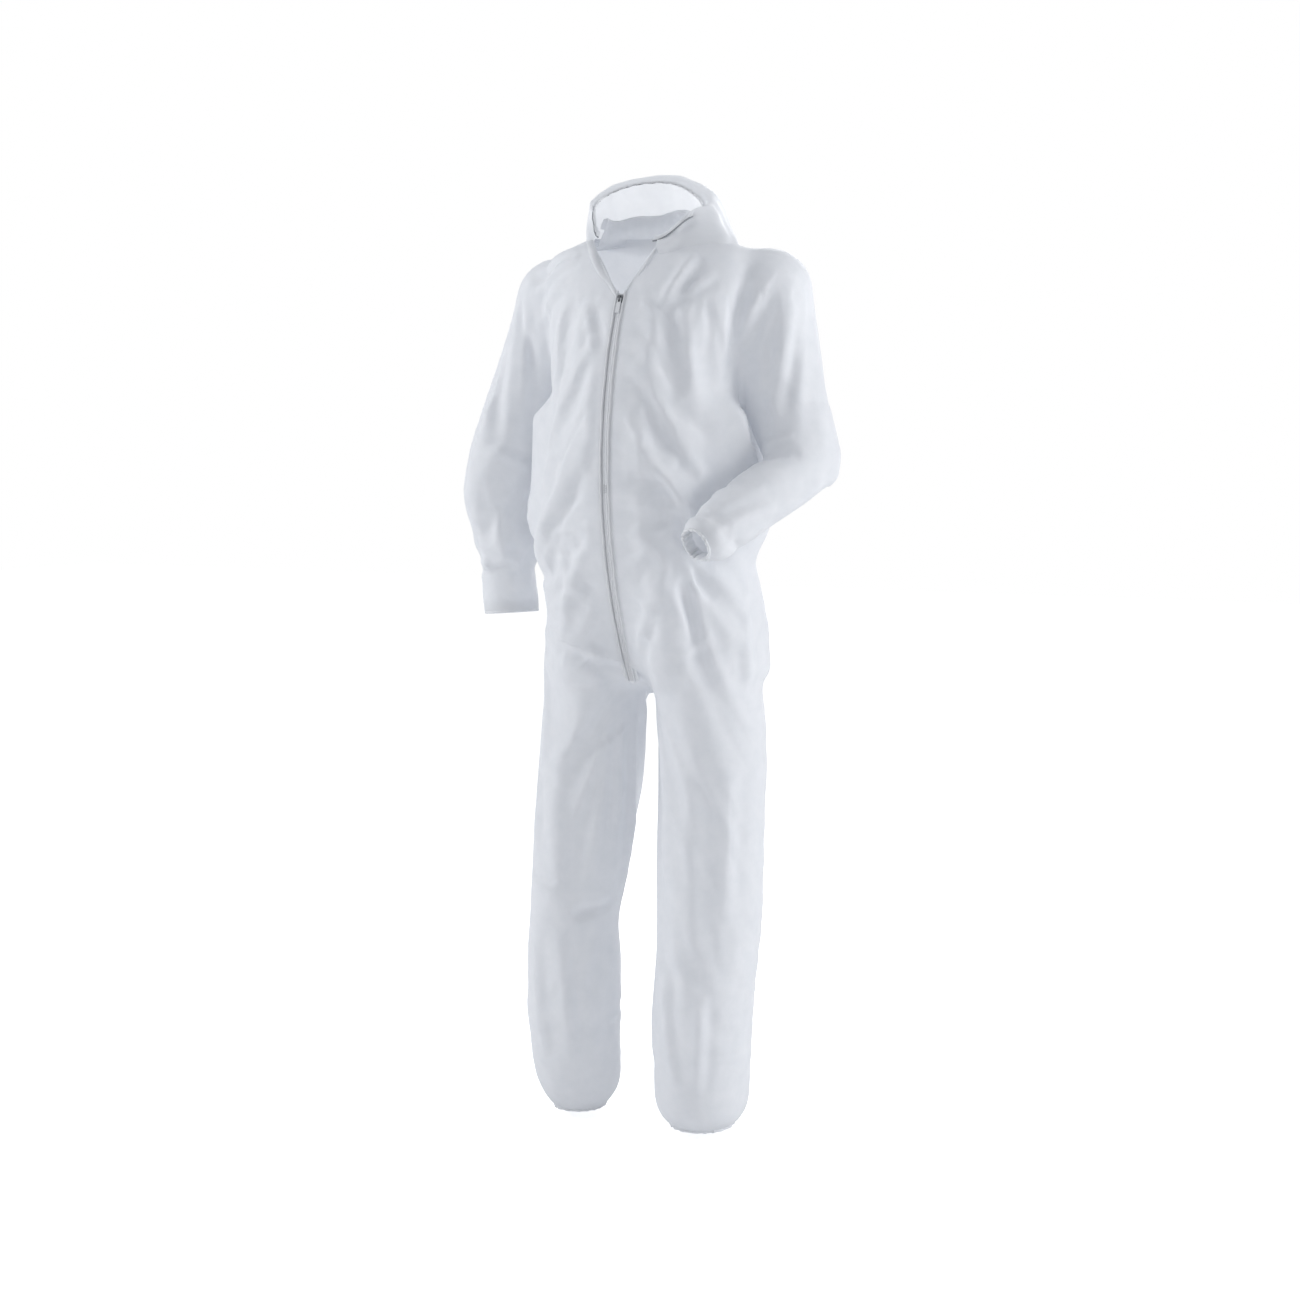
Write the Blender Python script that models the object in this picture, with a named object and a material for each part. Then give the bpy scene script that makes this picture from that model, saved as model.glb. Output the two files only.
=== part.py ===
"""Chemical protective suit: a hooded, zipped coverall of thin nonwoven cloth.

Metres, +Z up. The suit faces -Y and its wearer's left is +X. The origin is the centre of the neck
opening, level with the shoulder line. Each stretch of cloth is a thin shell, open where a limb, a
hand, a foot or the face goes through. A limb bends at nested balls: the upper shell ends in a
socket, and the lower one starts with a ball of the same centre that turns inside it.
"""

import math

import bmesh
import bpy
from mathutils import Matrix, Vector

# Cloth and clearances
CLOTH = 0.0016
HEM_CLOTH = 0.0030
SEAM_GAP = 0.0004
BALL_CLEARANCE = 0.0040
COLUMNS = 18

# Levels of the body
NECK_Z = -0.002
HIP_Z = -0.690
WAIST_Z = -0.380

# Zip: a circular arc in the plane x = 0, from its top to its bottom, bowed forwards
ZIP_TOP = Vector((0, -0.092, -0.075))
ZIP_BOTTOM = Vector((0, -0.061, -0.678))
ZIP_BOW = 0.070
COIL_INNER_X = 0.0008
COIL_OUTER_X = 0.0030
COIL_HALF_DEPTH = 0.0010
TAPE_OUTER_X = 0.0125
TAPE_HALF_DEPTH = 0.0004
PANEL_EDGE_X = 0.0065
PANEL_FACE = 0.0026
ZIP_STEPS = 26
BODY_ROWS = 18

# Zip slider and its pull tab
SLIDER_LENGTH = 0.0130
SLIDER_HALF_WIDTH = 0.0045
SLIDER_PLATE = 0.0015
SLIDER_POST_HALF = 0.0005
SLIDER_PLATE_START = 0.0014
LUG_HALF_WIDTH = 0.0012
LUG_LENGTH = 0.0080
LUG_HEIGHT = 0.0034
LUG_WINDOW_LENGTH = 0.0044
LUG_WINDOW_HEIGHT = 0.0021
TAB_HALF_WIDTH = 0.0034
TAB_LENGTH = 0.0240
TAB_WINDOW_HALF = 0.0018
TAB_WINDOW_LENGTH = 0.0064
TAB_THICKNESS = 0.0010
TAB_BAR = 0.0012

# Body outline, each as (height, value): half width, back, front of the thighs, squareness
HALF_WIDTH = (
    (HIP_Z, 0.2005), (-0.600, 0.198), (-0.500, 0.186), (WAIST_Z, 0.172), (-0.250, 0.173),
    (-0.150, 0.176), (-0.090, 0.174), (-0.050, 0.163), (-0.028, 0.142), (-0.012, 0.112), (0, 0.082),
)
BACK_Y = (
    (HIP_Z, 0.111), (-0.600, 0.122), (-0.500, 0.105), (WAIST_Z, 0.078), (-0.250, 0.098),
    (-0.150, 0.108), (-0.080, 0.100), (-0.040, 0.082), (0, 0.060),
)
THIGH_FRONT_Y = ((HIP_Z, -0.103), (-0.620, -0.113), (-0.560, -0.122), (-0.500, -0.1335))
SQUARENESS = ((HIP_Z, 3.0), (-0.500, 2.4), (0, 2.2))
FLAT_HALF_WIDTH = 0.013
DENT_WIDTH = 0.045

# Neck opening: a V in the front, then level round the back
V_BOTTOM_Z = -0.078
V_ANGLE = math.radians(58)
COLLAR_ANGLES = (math.radians(9), math.radians(50))
COLLAR_LIFT = 0.0045
COLLAR_WIDTH = 0.020
COLLAR_FLARE = 0.007

# Arms: shoulder, elbow and wrist centres
SHOULDER = Vector((0.183, 0.050, -0.090))
ELBOW_LEFT = Vector((0.258, 0.040, -0.342))
WRIST_LEFT = Vector((0.170, -0.172, -0.455))
ELBOW_RIGHT = Vector((-0.276, 0.008, -0.345))
WRIST_RIGHT = Vector((-0.258, 0.002, -0.580))
SHOULDER_BALL = 0.072
SHOULDER_NECK = math.radians(60)
ARMHOLE_COLUMNS = 28
ELBOW_BALL = 0.0520
UPPER_SLEEVE_TUBE = ((0.30, 0.067), (0.55, 0.064))
LOWER_SLEEVE_LEFT_TUBE = ((0.36, 0.043), (0.62, 0.037), (0.86, 0.037), (1.0, 0.0365))
LOWER_SLEEVE_RIGHT_TUBE = ((0.36, 0.051), (0.62, 0.050), (0.86, 0.047), (1.0, 0.0450))
WRIST_HEM_LENGTH = 0.016

# Legs: hip, knee and ankle centres
HIP = Vector((0.107, 0.004, HIP_Z))
KNEE = Vector((0.118, -0.036, -1.045))
ANKLE = Vector((0.112, -0.034, -1.382))
HIP_BALL = 0.086
HIP_NECK = math.radians(48)
KNEE_BALL = 0.0780
THIGH_TUBE = ((0.36, 0.084), (0.62, 0.082))
SHIN_TUBE = ((0.30, 0.076), (0.58, 0.077), (0.84, 0.074), (0.95, 0.064), (1.0, 0.050))
ANKLE_HEM_LENGTH = 0.016
ANKLE_HEM_GAP = 0.0020
LIMB_NECK = math.radians(45)
BALL_TOP = math.radians(130)
BALL_RINGS = 5

# Middle of each joint's range, in degrees from rest, which the socket opens towards
LEFT_ELBOW_MIDDLE = -34.0
RIGHT_ELBOW_MIDDLE = 40.0
KNEE_MIDDLE = 37.5

# Hood: rings from the neck to the rim, as (x radius, y centre, y radius, front z, rise to the back)
HOOD_RINGS = (
    (0.084, 0.012, 0.064, 0.0040, 0.000),
    (0.117, 0.025, 0.094, 0.0180, 0.012),
    (0.118, 0.028, 0.084, 0.0480, 0.038),
    (0.113, 0.0160, 0.0700, 0.0570, 0.061),
    (0.098, 0.000, 0.062, 0.0440, 0.056),
)
HOOD_HALF_ANGLE = math.radians(120)
HOOD_COLUMNS = 9
HOOD_ELASTIC_RADIUS = 0.0018
HOOD_ELASTIC_DROP = 0.0055

# Crotch seam, as (y, z) under the body in the plane x = 0
CROTCH_LINE = ((-0.0545, -0.6935), (-0.040, -0.718), (0.000, -0.742), (0.060, -0.728), (0.108, -0.6935))
CROTCH_HALF_WIDTH = 0.008

WHITE_CLOTH = ((0.86, 0.88, 0.91, 1), 0.85, 0.0)
SEAM_CLOTH = ((0.80, 0.82, 0.86, 1), 0.80, 0.0)
ELASTIC = ((0.74, 0.76, 0.80, 1), 0.70, 0.0)
ZIP_NYLON = ((0.82, 0.84, 0.88, 1), 0.45, 0.0)
ZIP_METAL = ((0.42, 0.44, 0.47, 1), 0.38, 0.85)


# ---------------------------------------------------------------- small helpers


def smooth_curve(points, key):
    """The value at key of a smooth curve through (key, value) points in rising order."""
    keys = [point[0] for point in points]
    values = [point[1] for point in points]
    if key <= keys[0]:
        return values[0]
    if key >= keys[-1]:
        return values[-1]
    last = len(points) - 1
    index = max(i for i in range(last) if keys[i] <= key)

    def slope(i):
        low = max(i - 1, 0)
        high = min(i + 1, last)
        return (values[high] - values[low]) / (keys[high] - keys[low])

    span = keys[index + 1] - keys[index]
    t = (key - keys[index]) / span
    return (
        (2 * t**3 - 3 * t**2 + 1) * values[index]
        + (t**3 - 2 * t**2 + t) * span * slope(index)
        + (3 * t**2 - 2 * t**3) * values[index + 1]
        + (t**3 - t**2) * span * slope(index + 1)
    )


def make_material(name, look):
    color, roughness, metallic = look
    material = bpy.data.materials.new(name)
    material.use_nodes = True
    shader = material.node_tree.nodes["Principled BSDF"]
    shader.inputs["Base Color"].default_value = color
    shader.inputs["Roughness"].default_value = roughness
    shader.inputs["Metallic"].default_value = metallic
    material.diffuse_color = color
    return material


def make_object(name, bm, look, matrix=None):
    """An object from a closed bmesh, with its faces pointing out."""
    bmesh.ops.recalc_face_normals(bm, faces=bm.faces)
    if bm.calc_volume(signed=True) < 0:
        bmesh.ops.reverse_faces(bm, faces=bm.faces)
    mesh = bpy.data.meshes.new(name)
    bm.to_mesh(mesh)
    bm.free()
    mesh.shade_smooth()
    mesh.set_sharp_from_angle(angle=math.radians(40))
    obj = bpy.data.objects.new(name, mesh)
    mesh.materials.append(make_material(name, look))
    if matrix is not None:
        obj.matrix_world = matrix
    bpy.context.scene.collection.objects.link(obj)
    return obj


def two_triangles(bm, a, b, c, d):
    """A quad split on the diagonal a-c, so that both skins of a shell split alike."""
    bm.faces.new((a, b, c))
    bm.faces.new((a, c, d))


def add_shell(name, outer, inner, look, closed, matrix=None):
    """A thin solid between two grids of points, each a list of rows. closed joins each row's ends."""
    bm = bmesh.new()
    outer = [[bm.verts.new(point) for point in row] for row in outer]
    inner = [[bm.verts.new(point) for point in row] for row in inner]
    rows = len(outer)
    columns = len(outer[0])
    for j in range(columns if closed else columns - 1):
        k = (j + 1) % columns
        for i in range(rows - 1):
            two_triangles(bm, outer[i][j], outer[i][k], outer[i + 1][k], outer[i + 1][j])
            two_triangles(bm, inner[i + 1][j], inner[i + 1][k], inner[i][k], inner[i][j])
        bm.faces.new((inner[0][j], inner[0][k], outer[0][k], outer[0][j]))
        bm.faces.new((outer[-1][j], outer[-1][k], inner[-1][k], inner[-1][j]))
    if not closed:
        for i in range(rows - 1):
            bm.faces.new((outer[i][0], outer[i + 1][0], inner[i + 1][0], inner[i][0]))
            bm.faces.new((inner[i][-1], inner[i + 1][-1], outer[i + 1][-1], outer[i][-1]))
    return make_object(name, bm, look, matrix)


def surface_normal(surface, u, v, outward):
    """The unit normal of surface(u, v), on the side that outward points to."""
    step = 1e-4
    along_u = surface(u + step, v) - surface(u - step, v)
    along_v = surface(u, v + step) - surface(u, v - step)
    normal = along_u.cross(along_v).normalized()
    return normal if normal.dot(outward) > 0 else -normal


def add_cut(obj, cutter):
    modifier = obj.modifiers.new("Cut " + cutter.name, "BOOLEAN")
    modifier.operation = "DIFFERENCE"
    modifier.object = cutter


def hide_helper(obj):
    obj.hide_render = True
    obj.display_type = "WIRE"


def pointing_frame(down, across, origin):
    """A matrix whose -Z runs along down and whose +X is as near across as it can be."""
    z_axis = -down.normalized()
    x_axis = (across - across.dot(z_axis) * z_axis).normalized()
    y_axis = z_axis.cross(x_axis)
    matrix = Matrix((x_axis, y_axis, z_axis)).transposed().to_4x4()
    matrix.translation = origin
    return matrix


def turned(vector, axis, degrees):
    return Matrix.Rotation(math.radians(degrees), 3, axis) @ vector


# ---------------------------------------------------------------- the zip's arc


def zip_arc():
    """The centre and radius of the arc through the zip's two ends with its bow forwards."""
    chord = ZIP_BOTTOM - ZIP_TOP
    half = chord.length / 2
    radius = (half**2 + ZIP_BOW**2) / (2 * ZIP_BOW)
    backward = Vector((0, -chord.z, chord.y)).normalized()
    centre = (ZIP_TOP + ZIP_BOTTOM) / 2 + backward * (radius - ZIP_BOW)
    return centre, radius


ZIP_CENTRE, ZIP_RADIUS = zip_arc()
ZIP_TOP_ANGLE = math.asin((ZIP_TOP.z - ZIP_CENTRE.z) / ZIP_RADIUS)
ZIP_BOTTOM_ANGLE = math.asin((ZIP_BOTTOM.z - ZIP_CENTRE.z) / ZIP_RADIUS)


def zip_point(x, proud, angle):
    """A point beside the zip: x across it, proud in front of it, angle along it."""
    radius = ZIP_RADIUS + proud
    y = ZIP_CENTRE.y - radius * math.cos(angle)
    z = ZIP_CENTRE.z + radius * math.sin(angle)
    return Vector((x, y, z))


def front_line_y(z):
    """y of the body's centre front at height z: the arc of the panels' faces."""
    radius = ZIP_RADIUS + PANEL_FACE
    return ZIP_CENTRE.y - math.sqrt(radius**2 - (z - ZIP_CENTRE.z) ** 2)


# ---------------------------------------------------------------- the body panels


def body_point(angle, z):
    """A point of the body's outer face. angle 0 is the centre front, pi / 2 the left side, pi the back."""
    half_width = smooth_curve(HALF_WIDTH, z)
    back = smooth_curve(BACK_Y, z)
    front = front_line_y(z)
    thigh_front = front
    if z < THIGH_FRONT_Y[-1][0]:
        thigh_front = smooth_curve(THIGH_FRONT_Y, z)
    power = smooth_curve(SQUARENESS, z)
    middle = (thigh_front + back) / 2
    depth = (back - thigh_front) / 2
    across = abs(math.sin(angle)) / half_width
    along = abs(math.cos(angle)) / depth
    radius = (across**power + along**power) ** (-1 / power)
    x = radius * math.sin(angle)
    y = middle - radius * math.cos(angle)
    if math.cos(angle) > 0:
        off_flat = max(0.0, abs(x) - FLAT_HALF_WIDTH) / DENT_WIDTH
        y += (front - thigh_front) * math.exp(-(off_flat**2))
    return Vector((x, y, z))


def body_inner_point(angle, z, depth):
    """The point depth under the body's outer face."""
    point = body_point(angle, z)
    outward = Vector((math.sin(angle), -math.cos(angle), 0))
    normal = surface_normal(body_point, angle, min(z, NECK_Z - 0.001), outward)
    return point - depth * normal


def top_of_body(angle):
    """The height of the neck opening's edge: a V in the front, then level."""
    start = math.radians(4)
    share = (abs(angle) - start) / (V_ANGLE - start)
    share = min(max(share, 0.0), 1.0)
    return V_BOTTOM_Z + share * (NECK_Z - V_BOTTOM_Z)


def front_start_angle(z):
    depth = (smooth_curve(BACK_Y, z) - front_line_y(z)) / 2
    return math.asin(PANEL_EDGE_X / depth)


def body_grid(first_angle, last_angle, columns, side, inset):
    """Rows of points from the hips up. first_angle and last_angle give the angle at a height."""
    rows = []
    for i in range(BODY_ROWS + 1):
        row = []
        for j in range(columns + 1):
            share = j / columns
            guess = first_angle(HIP_Z) * (1 - share) + last_angle(HIP_Z) * share
            top = top_of_body(guess)
            z = HIP_Z + (top - HIP_Z) * i / BODY_ROWS
            angle = first_angle(z) * (1 - share) + last_angle(z) * share
            row.append(body_inner_point(side * angle, z, inset))
        rows.append(row)
    return rows


def side_seam_angle(z, direction):
    return math.pi / 2 + direction * SEAM_GAP / 2 / smooth_curve(HALF_WIDTH, z)


def back_seam_angle(z):
    return math.pi - SEAM_GAP / smooth_curve(BACK_Y, z)


def add_body_panels(armhole_cutters):
    for side, hand in ((1, "left"), (-1, "right")):
        panels = (
            ("front_panel_", front_start_angle, lambda z: side_seam_angle(z, -1), 10),
            ("back_panel_", lambda z: side_seam_angle(z, 1), back_seam_angle, 9),
        )
        for stem, first, last, columns in panels:
            outer = body_grid(first, last, columns, side, 0.0)
            inner = body_grid(first, last, columns, side, CLOTH)
            panel = add_shell(stem + hand, outer, inner, WHITE_CLOTH, closed=False)
            for cutter in armhole_cutters[hand]:
                add_cut(panel, cutter)


def add_crotch_seam():
    path = []
    for index in range(13):
        key = index / 3
        y = smooth_curve([(i, p[0]) for i, p in enumerate(CROTCH_LINE)], key)
        z = smooth_curve([(i, p[1]) for i, p in enumerate(CROTCH_LINE)], key)
        path.append(Vector((0, y, z)))
    outer = []
    inner = []
    for index, point in enumerate(path):
        along = path[min(index + 1, len(path) - 1)] - path[max(index - 1, 0)]
        outward = Vector((0, along.z, -along.y)).normalized()
        across = [Vector((x, 0, 0)) for x in (-CROTCH_HALF_WIDTH, 0, CROTCH_HALF_WIDTH)]
        outer.append([point + step for step in across])
        inner.append([point + step - CLOTH * outward for step in across])
    add_shell("crotch_seam", outer, inner, SEAM_CLOTH, closed=False)


def add_waist_elastic():
    depth = CLOTH + 0.0024
    thickness = 0.0010
    angles = [math.radians(118 + 124 * share / 20) for share in range(21)]
    heights = [WAIST_Z - 0.006, WAIST_Z, WAIST_Z + 0.006]
    outer = [[body_inner_point(angle, z, depth) for angle in angles] for z in heights]
    inner = [[body_inner_point(angle, z, depth + thickness) for angle in angles] for z in heights]
    add_shell("waist_elastic", outer, inner, ELASTIC, closed=False)


def add_collars():
    """The front neck edges, turned outwards over the front panels."""
    steps = 8
    for side, hand in ((1, "left"), (-1, "right")):
        outer = []
        inner = []
        for index in range(steps + 1):
            low, high = COLLAR_ANGLES
            angle = low + (high - low) * index / steps
            z = top_of_body(angle)
            edge = body_point(side * angle, z)
            outward = Vector((side * math.sin(angle), -math.cos(angle), 0))
            normal = surface_normal(body_point, side * angle, z, outward)
            away = Vector((side * 0.80, 0.0, -0.45))
            away = (away - away.dot(normal) * normal).normalized()
            root = edge + COLLAR_LIFT * normal
            tip = root + COLLAR_WIDTH * away + COLLAR_FLARE * normal
            middle = (root + tip) / 2 + 0.002 * normal
            row = [root, middle, tip]
            outer.append([point + CLOTH * normal for point in row])
            inner.append(row)
        add_shell("collar_" + hand, outer, inner, WHITE_CLOTH, closed=False)


# ---------------------------------------------------------------- limbs


def ball_ring_points(radius, start, end, centre_z, upward):
    """(radius, z) points round a ball, from one polar angle to another, measured from its pole."""
    points = []
    for index in range(BALL_RINGS + 1):
        angle = start + (end - start) * index / BALL_RINGS
        height = radius * math.cos(angle)
        points.append((radius * math.sin(angle), centre_z + (height if upward else -height)))
    return points


def limb_profile(inset, length, ball, neck, tube, socket, cut_angle):
    """(radius, z) points down a limb: its ball, its tube and its socket, or its open end."""
    radius = ball - inset
    neck_radius = ball * math.sin(neck) - inset
    neck_angle = math.asin(neck_radius / radius)
    points = ball_ring_points(radius, BALL_TOP, neck_angle, 0.0, upward=False)
    for share, tube_radius in tube:
        points.append((tube_radius - inset, -share * length))
    if socket is None:
        return points
    socket_radius = socket - inset
    socket_neck = math.asin((socket * math.sin(LIMB_NECK) - inset) / socket_radius)
    points += ball_ring_points(socket_radius, socket_neck, cut_angle, -length, upward=True)
    return points


def add_limb(name, start, end, across, ball, neck, tube, socket=None, opening=None, trim=0.0):
    """A limb's shell from its pivot to the next one, or to its open end less trim.

    opening is the direction that its socket opens towards, in the world.
    """
    down = end - start
    length = down.length - trim
    frame = pointing_frame(down, across, start)
    local_opening = None
    if opening is not None:
        local_opening = frame.to_3x3().inverted() @ opening
    rings = {0.0: [], CLOTH: []}
    for inset, columns in rings.items():
        for j in range(COLUMNS):
            turn = 2 * math.pi * j / COLUMNS
            cut_angle = None
            if socket is not None:
                towards = local_opening.x * math.cos(turn) + local_opening.y * math.sin(turn)
                cut_angle = math.atan2(-local_opening.z, towards)
            profile = limb_profile(inset, length, ball, neck, tube, socket, cut_angle)
            columns.append([Vector((r * math.cos(turn), r * math.sin(turn), z)) for r, z in profile])
    outer = [list(row) for row in zip(*rings[0.0])]
    inner = [list(row) for row in zip(*rings[CLOTH])]
    return add_shell(name, outer, inner, WHITE_CLOTH, closed=True, matrix=frame)


def add_ring(name, centre, down, across, radius, thickness, length, look):
    """A short tube that starts at centre and runs along down. radius is its outer one."""
    frame = pointing_frame(down, across, centre)
    grids = []
    for ring_radius in (radius, radius - thickness):
        rows = []
        for z in (0.0, -length):
            turns = [2 * math.pi * j / COLUMNS for j in range(COLUMNS)]
            row = [Vector((ring_radius * math.cos(t), ring_radius * math.sin(t), z)) for t in turns]
            rows.append(row)
        grids.append(rows)
    add_shell(name, grids[0], grids[1], look, closed=True, matrix=frame)


def add_hem(kind, hand, end, down, across, radius, length):
    """A limb's hem, and the elastic that lies inside it."""
    direction = down.normalized()
    add_ring(kind + "_hem_" + hand, end - direction * length, direction, across,
             radius, HEM_CLOTH, length, SEAM_CLOTH)
    elastic_radius = (radius - HEM_CLOTH - SEAM_GAP) * math.cos(math.pi / COLUMNS)
    add_ring(kind + "_elastic_" + hand, end - direction * length * 0.8, direction, across,
             elastic_radius, 0.0012, length * 0.6, ELASTIC)


def socket_size(ball):
    return ball + BALL_CLEARANCE + CLOTH


def elbow_axis(shoulder, elbow, wrist, hand):
    """The left elbow bends in the plane of its two sleeves, and the right one straight forwards."""
    if hand == "left":
        return (elbow - shoulder).cross(wrist - elbow).normalized()
    return Vector((-1, 0, 0))


def mirrored(vector, side):
    return Vector((side * vector.x, vector.y, vector.z))


def add_sleeve(hand, side, elbow, wrist, tube, middle):
    shoulder = mirrored(SHOULDER, side)
    axis = elbow_axis(shoulder, elbow, wrist, hand)
    opening = turned((wrist - elbow).normalized(), axis, middle)
    add_limb("upper_sleeve_" + hand, shoulder, elbow, axis, SHOULDER_BALL, SHOULDER_NECK,
             UPPER_SLEEVE_TUBE, socket_size(ELBOW_BALL), opening)
    add_limb("lower_sleeve_" + hand, elbow, wrist, axis, ELBOW_BALL, LIMB_NECK,
             tube, trim=WRIST_HEM_LENGTH + SEAM_GAP)
    add_hem("wrist", hand, wrist, wrist - elbow, axis, tube[-1][1], WRIST_HEM_LENGTH)


def add_leg(hand, side):
    hip = mirrored(HIP, side)
    knee = mirrored(KNEE, side)
    ankle = mirrored(ANKLE, side)
    across = Vector((1, 0, 0))
    opening = turned((ankle - knee).normalized(), across, KNEE_MIDDLE)
    add_limb("thigh_" + hand, hip, knee, across, HIP_BALL, HIP_NECK, THIGH_TUBE,
             socket_size(KNEE_BALL), opening)
    hem_top = ankle + Vector((0, 0, ANKLE_HEM_LENGTH + ANKLE_HEM_GAP))
    add_limb("shin_" + hand, knee, hem_top, across, KNEE_BALL, LIMB_NECK, SHIN_TUBE)
    add_hem("ankle", hand, ankle, Vector((0, 0, -1)), across, SHIN_TUBE[-1][1], ANKLE_HEM_LENGTH)


def add_armhole_cutters(hand, side, elbow):
    """A ball and a cylinder that clear the body panels round the top of the sleeve."""
    shoulder = mirrored(SHOULDER, side)
    down = elbow - shoulder
    ball = bmesh.new()
    bmesh.ops.create_uvsphere(ball, u_segments=ARMHOLE_COLUMNS, v_segments=18,
                              radius=SHOULDER_BALL + BALL_CLEARANCE)
    ball_cutter = make_object("armhole_ball_" + hand, ball, WHITE_CLOTH, Matrix.Translation(shoulder))
    tube = bmesh.new()
    radius = UPPER_SLEEVE_TUBE[0][1] + BALL_CLEARANCE
    bmesh.ops.create_cone(tube, cap_ends=True, segments=ARMHOLE_COLUMNS, radius1=radius,
                          radius2=radius, depth=down.length)
    middle = pointing_frame(down, Vector((1, 0, 0)), shoulder + down / 2)
    tube_cutter = make_object("armhole_tube_" + hand, tube, WHITE_CLOTH, middle)
    hide_helper(ball_cutter)
    hide_helper(tube_cutter)
    return [ball_cutter, tube_cutter]


# ---------------------------------------------------------------- the hood


def hood_point(turn, share):
    """A point of the hood. turn 0 is its back, and share runs from 0 at the neck to 1 at the rim."""
    drop = math.cos(HOOD_HALF_ANGLE)
    rise_share = (math.cos(turn) - drop) / (1 - drop)
    points = []
    for x_radius, y_centre, y_radius, z, rise in HOOD_RINGS:
        point = (x_radius * math.sin(turn), y_centre + y_radius * math.cos(turn), z + rise * rise_share)
        points.append(point)
    last = len(points) - 1
    axes = [smooth_curve([(i / last, p[axis]) for i, p in enumerate(points)], share) for axis in range(3)]
    return Vector(axes)


def hood_inner_point(turn, share, depth):
    """The point depth inside the hood's outer face."""
    point = hood_point(turn, share)
    outward = point - Vector((0, 0.02, 0.03))
    normal = surface_normal(hood_point, turn, min(max(share, 0.001), 0.999), outward)
    return point - depth * normal


def add_hood():
    columns = HOOD_COLUMNS
    rows = 9
    for side, hand in ((1, "left"), (-1, "right")):
        seam = SEAM_GAP / 2 / 0.08
        turns = [side * (seam + (HOOD_HALF_ANGLE - seam) * j / columns) for j in range(columns + 1)]
        shares = [i / rows for i in range(rows + 1)]
        outer = [[hood_inner_point(turn, share, 0.0) for turn in turns] for share in shares]
        inner = [[hood_inner_point(turn, share, CLOTH) for turn in turns] for share in shares]
        add_shell("hood_" + hand, outer, inner, WHITE_CLOTH, closed=False)
    add_hood_elastic()


def add_hood_elastic():
    curve = bpy.data.curves.new("hood_elastic", "CURVE")
    curve.dimensions = "3D"
    curve.bevel_depth = HOOD_ELASTIC_RADIUS
    curve.bevel_resolution = 1
    curve.use_fill_caps = True
    steps = 2 * HOOD_COLUMNS
    spline = curve.splines.new("POLY")
    spline.points.add(steps)
    for index in range(steps + 1):
        turn = HOOD_HALF_ANGLE * (2 * index / steps - 1)
        rim = hood_inner_point(turn, 1.0, CLOTH / 2)
        before = hood_inner_point(turn, 0.97, CLOTH / 2)
        point = rim + (rim - before).normalized() * HOOD_ELASTIC_DROP
        spline.points[index].co = (*point, 1)
    obj = bpy.data.objects.new("hood_elastic", curve)
    curve.materials.append(make_material("hood_elastic", ELASTIC))
    bpy.context.scene.collection.objects.link(obj)


# ---------------------------------------------------------------- the zip


def add_zip_strip(name, near_x, far_x, half_depth, look):
    """A strip beside the zip's centre line, from near_x to far_x across."""
    front = []
    back = []
    for index in range(ZIP_STEPS + 1):
        angle = ZIP_TOP_ANGLE + (ZIP_BOTTOM_ANGLE - ZIP_TOP_ANGLE) * index / ZIP_STEPS
        front.append([zip_point(near_x, half_depth, angle), zip_point(far_x, half_depth, angle)])
        back.append([zip_point(near_x, -half_depth, angle), zip_point(far_x, -half_depth, angle)])
    add_shell(name, front, back, look, closed=False)


def zip_frame(angle, proud):
    """A matrix on the zip at angle: +X across, -Y out of the front, +Z up along the zip."""
    frame = Matrix.Rotation(-angle, 4, "X")
    frame.translation = zip_point(0, proud, angle)
    return frame


def box_mesh(low, high):
    bm = bmesh.new()
    bmesh.ops.create_cube(bm, size=1.0)
    size = Vector(high) - Vector(low)
    middle = (Vector(high) + Vector(low)) / 2
    bmesh.ops.transform(bm, matrix=Matrix.Translation(middle) @ Matrix.Diagonal((*size, 1)), verts=bm.verts)
    return bm


def add_zip_slider(angle):
    """Two plates joined by a post that runs between the coils, with a lug for the pull tab."""
    frame = zip_frame(angle, 0.0)
    half = SLIDER_LENGTH / 2
    wide = SLIDER_HALF_WIDTH
    post = SLIDER_POST_HALF
    near = SLIDER_PLATE_START
    far = SLIDER_PLATE_START + SLIDER_PLATE
    outline = [
        (-wide, -far), (wide, -far), (wide, -near), (post, -near), (post, near), (wide, near),
        (wide, far), (-wide, far), (-wide, near), (-post, near), (-post, -near), (-wide, -near),
    ]
    bm = bmesh.new()
    bottom = [bm.verts.new((x, y, -half)) for x, y in outline]
    face = bm.faces.new(bottom)
    top = bmesh.ops.extrude_face_region(bm, geom=[face])["geom"]
    top_verts = [item for item in top if isinstance(item, bmesh.types.BMVert)]
    bmesh.ops.translate(bm, vec=(0, 0, SLIDER_LENGTH), verts=top_verts)
    slider = make_object("zip_slider", bm, ZIP_METAL, frame)
    face_y = -SLIDER_PLATE_START - SLIDER_PLATE
    lug = box_mesh((-LUG_HALF_WIDTH, face_y - LUG_HEIGHT, -LUG_LENGTH / 2),
                   (LUG_HALF_WIDTH, face_y + SLIDER_PLATE / 2, LUG_LENGTH / 2))
    lug = make_object("slider_lug", lug, ZIP_METAL, frame)
    window = box_mesh((-2 * LUG_HALF_WIDTH, face_y - LUG_WINDOW_HEIGHT, -LUG_WINDOW_LENGTH / 2),
                      (2 * LUG_HALF_WIDTH, face_y, LUG_WINDOW_LENGTH / 2))
    window = make_object("lug_window", window, ZIP_METAL, frame)
    hide_helper(lug)
    hide_helper(window)
    add_cut(lug, window)
    join = slider.modifiers.new("Lug", "BOOLEAN")
    join.operation = "UNION"
    join.object = lug
    add_pull_tab(angle, -face_y + LUG_WINDOW_HEIGHT / 2)


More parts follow.
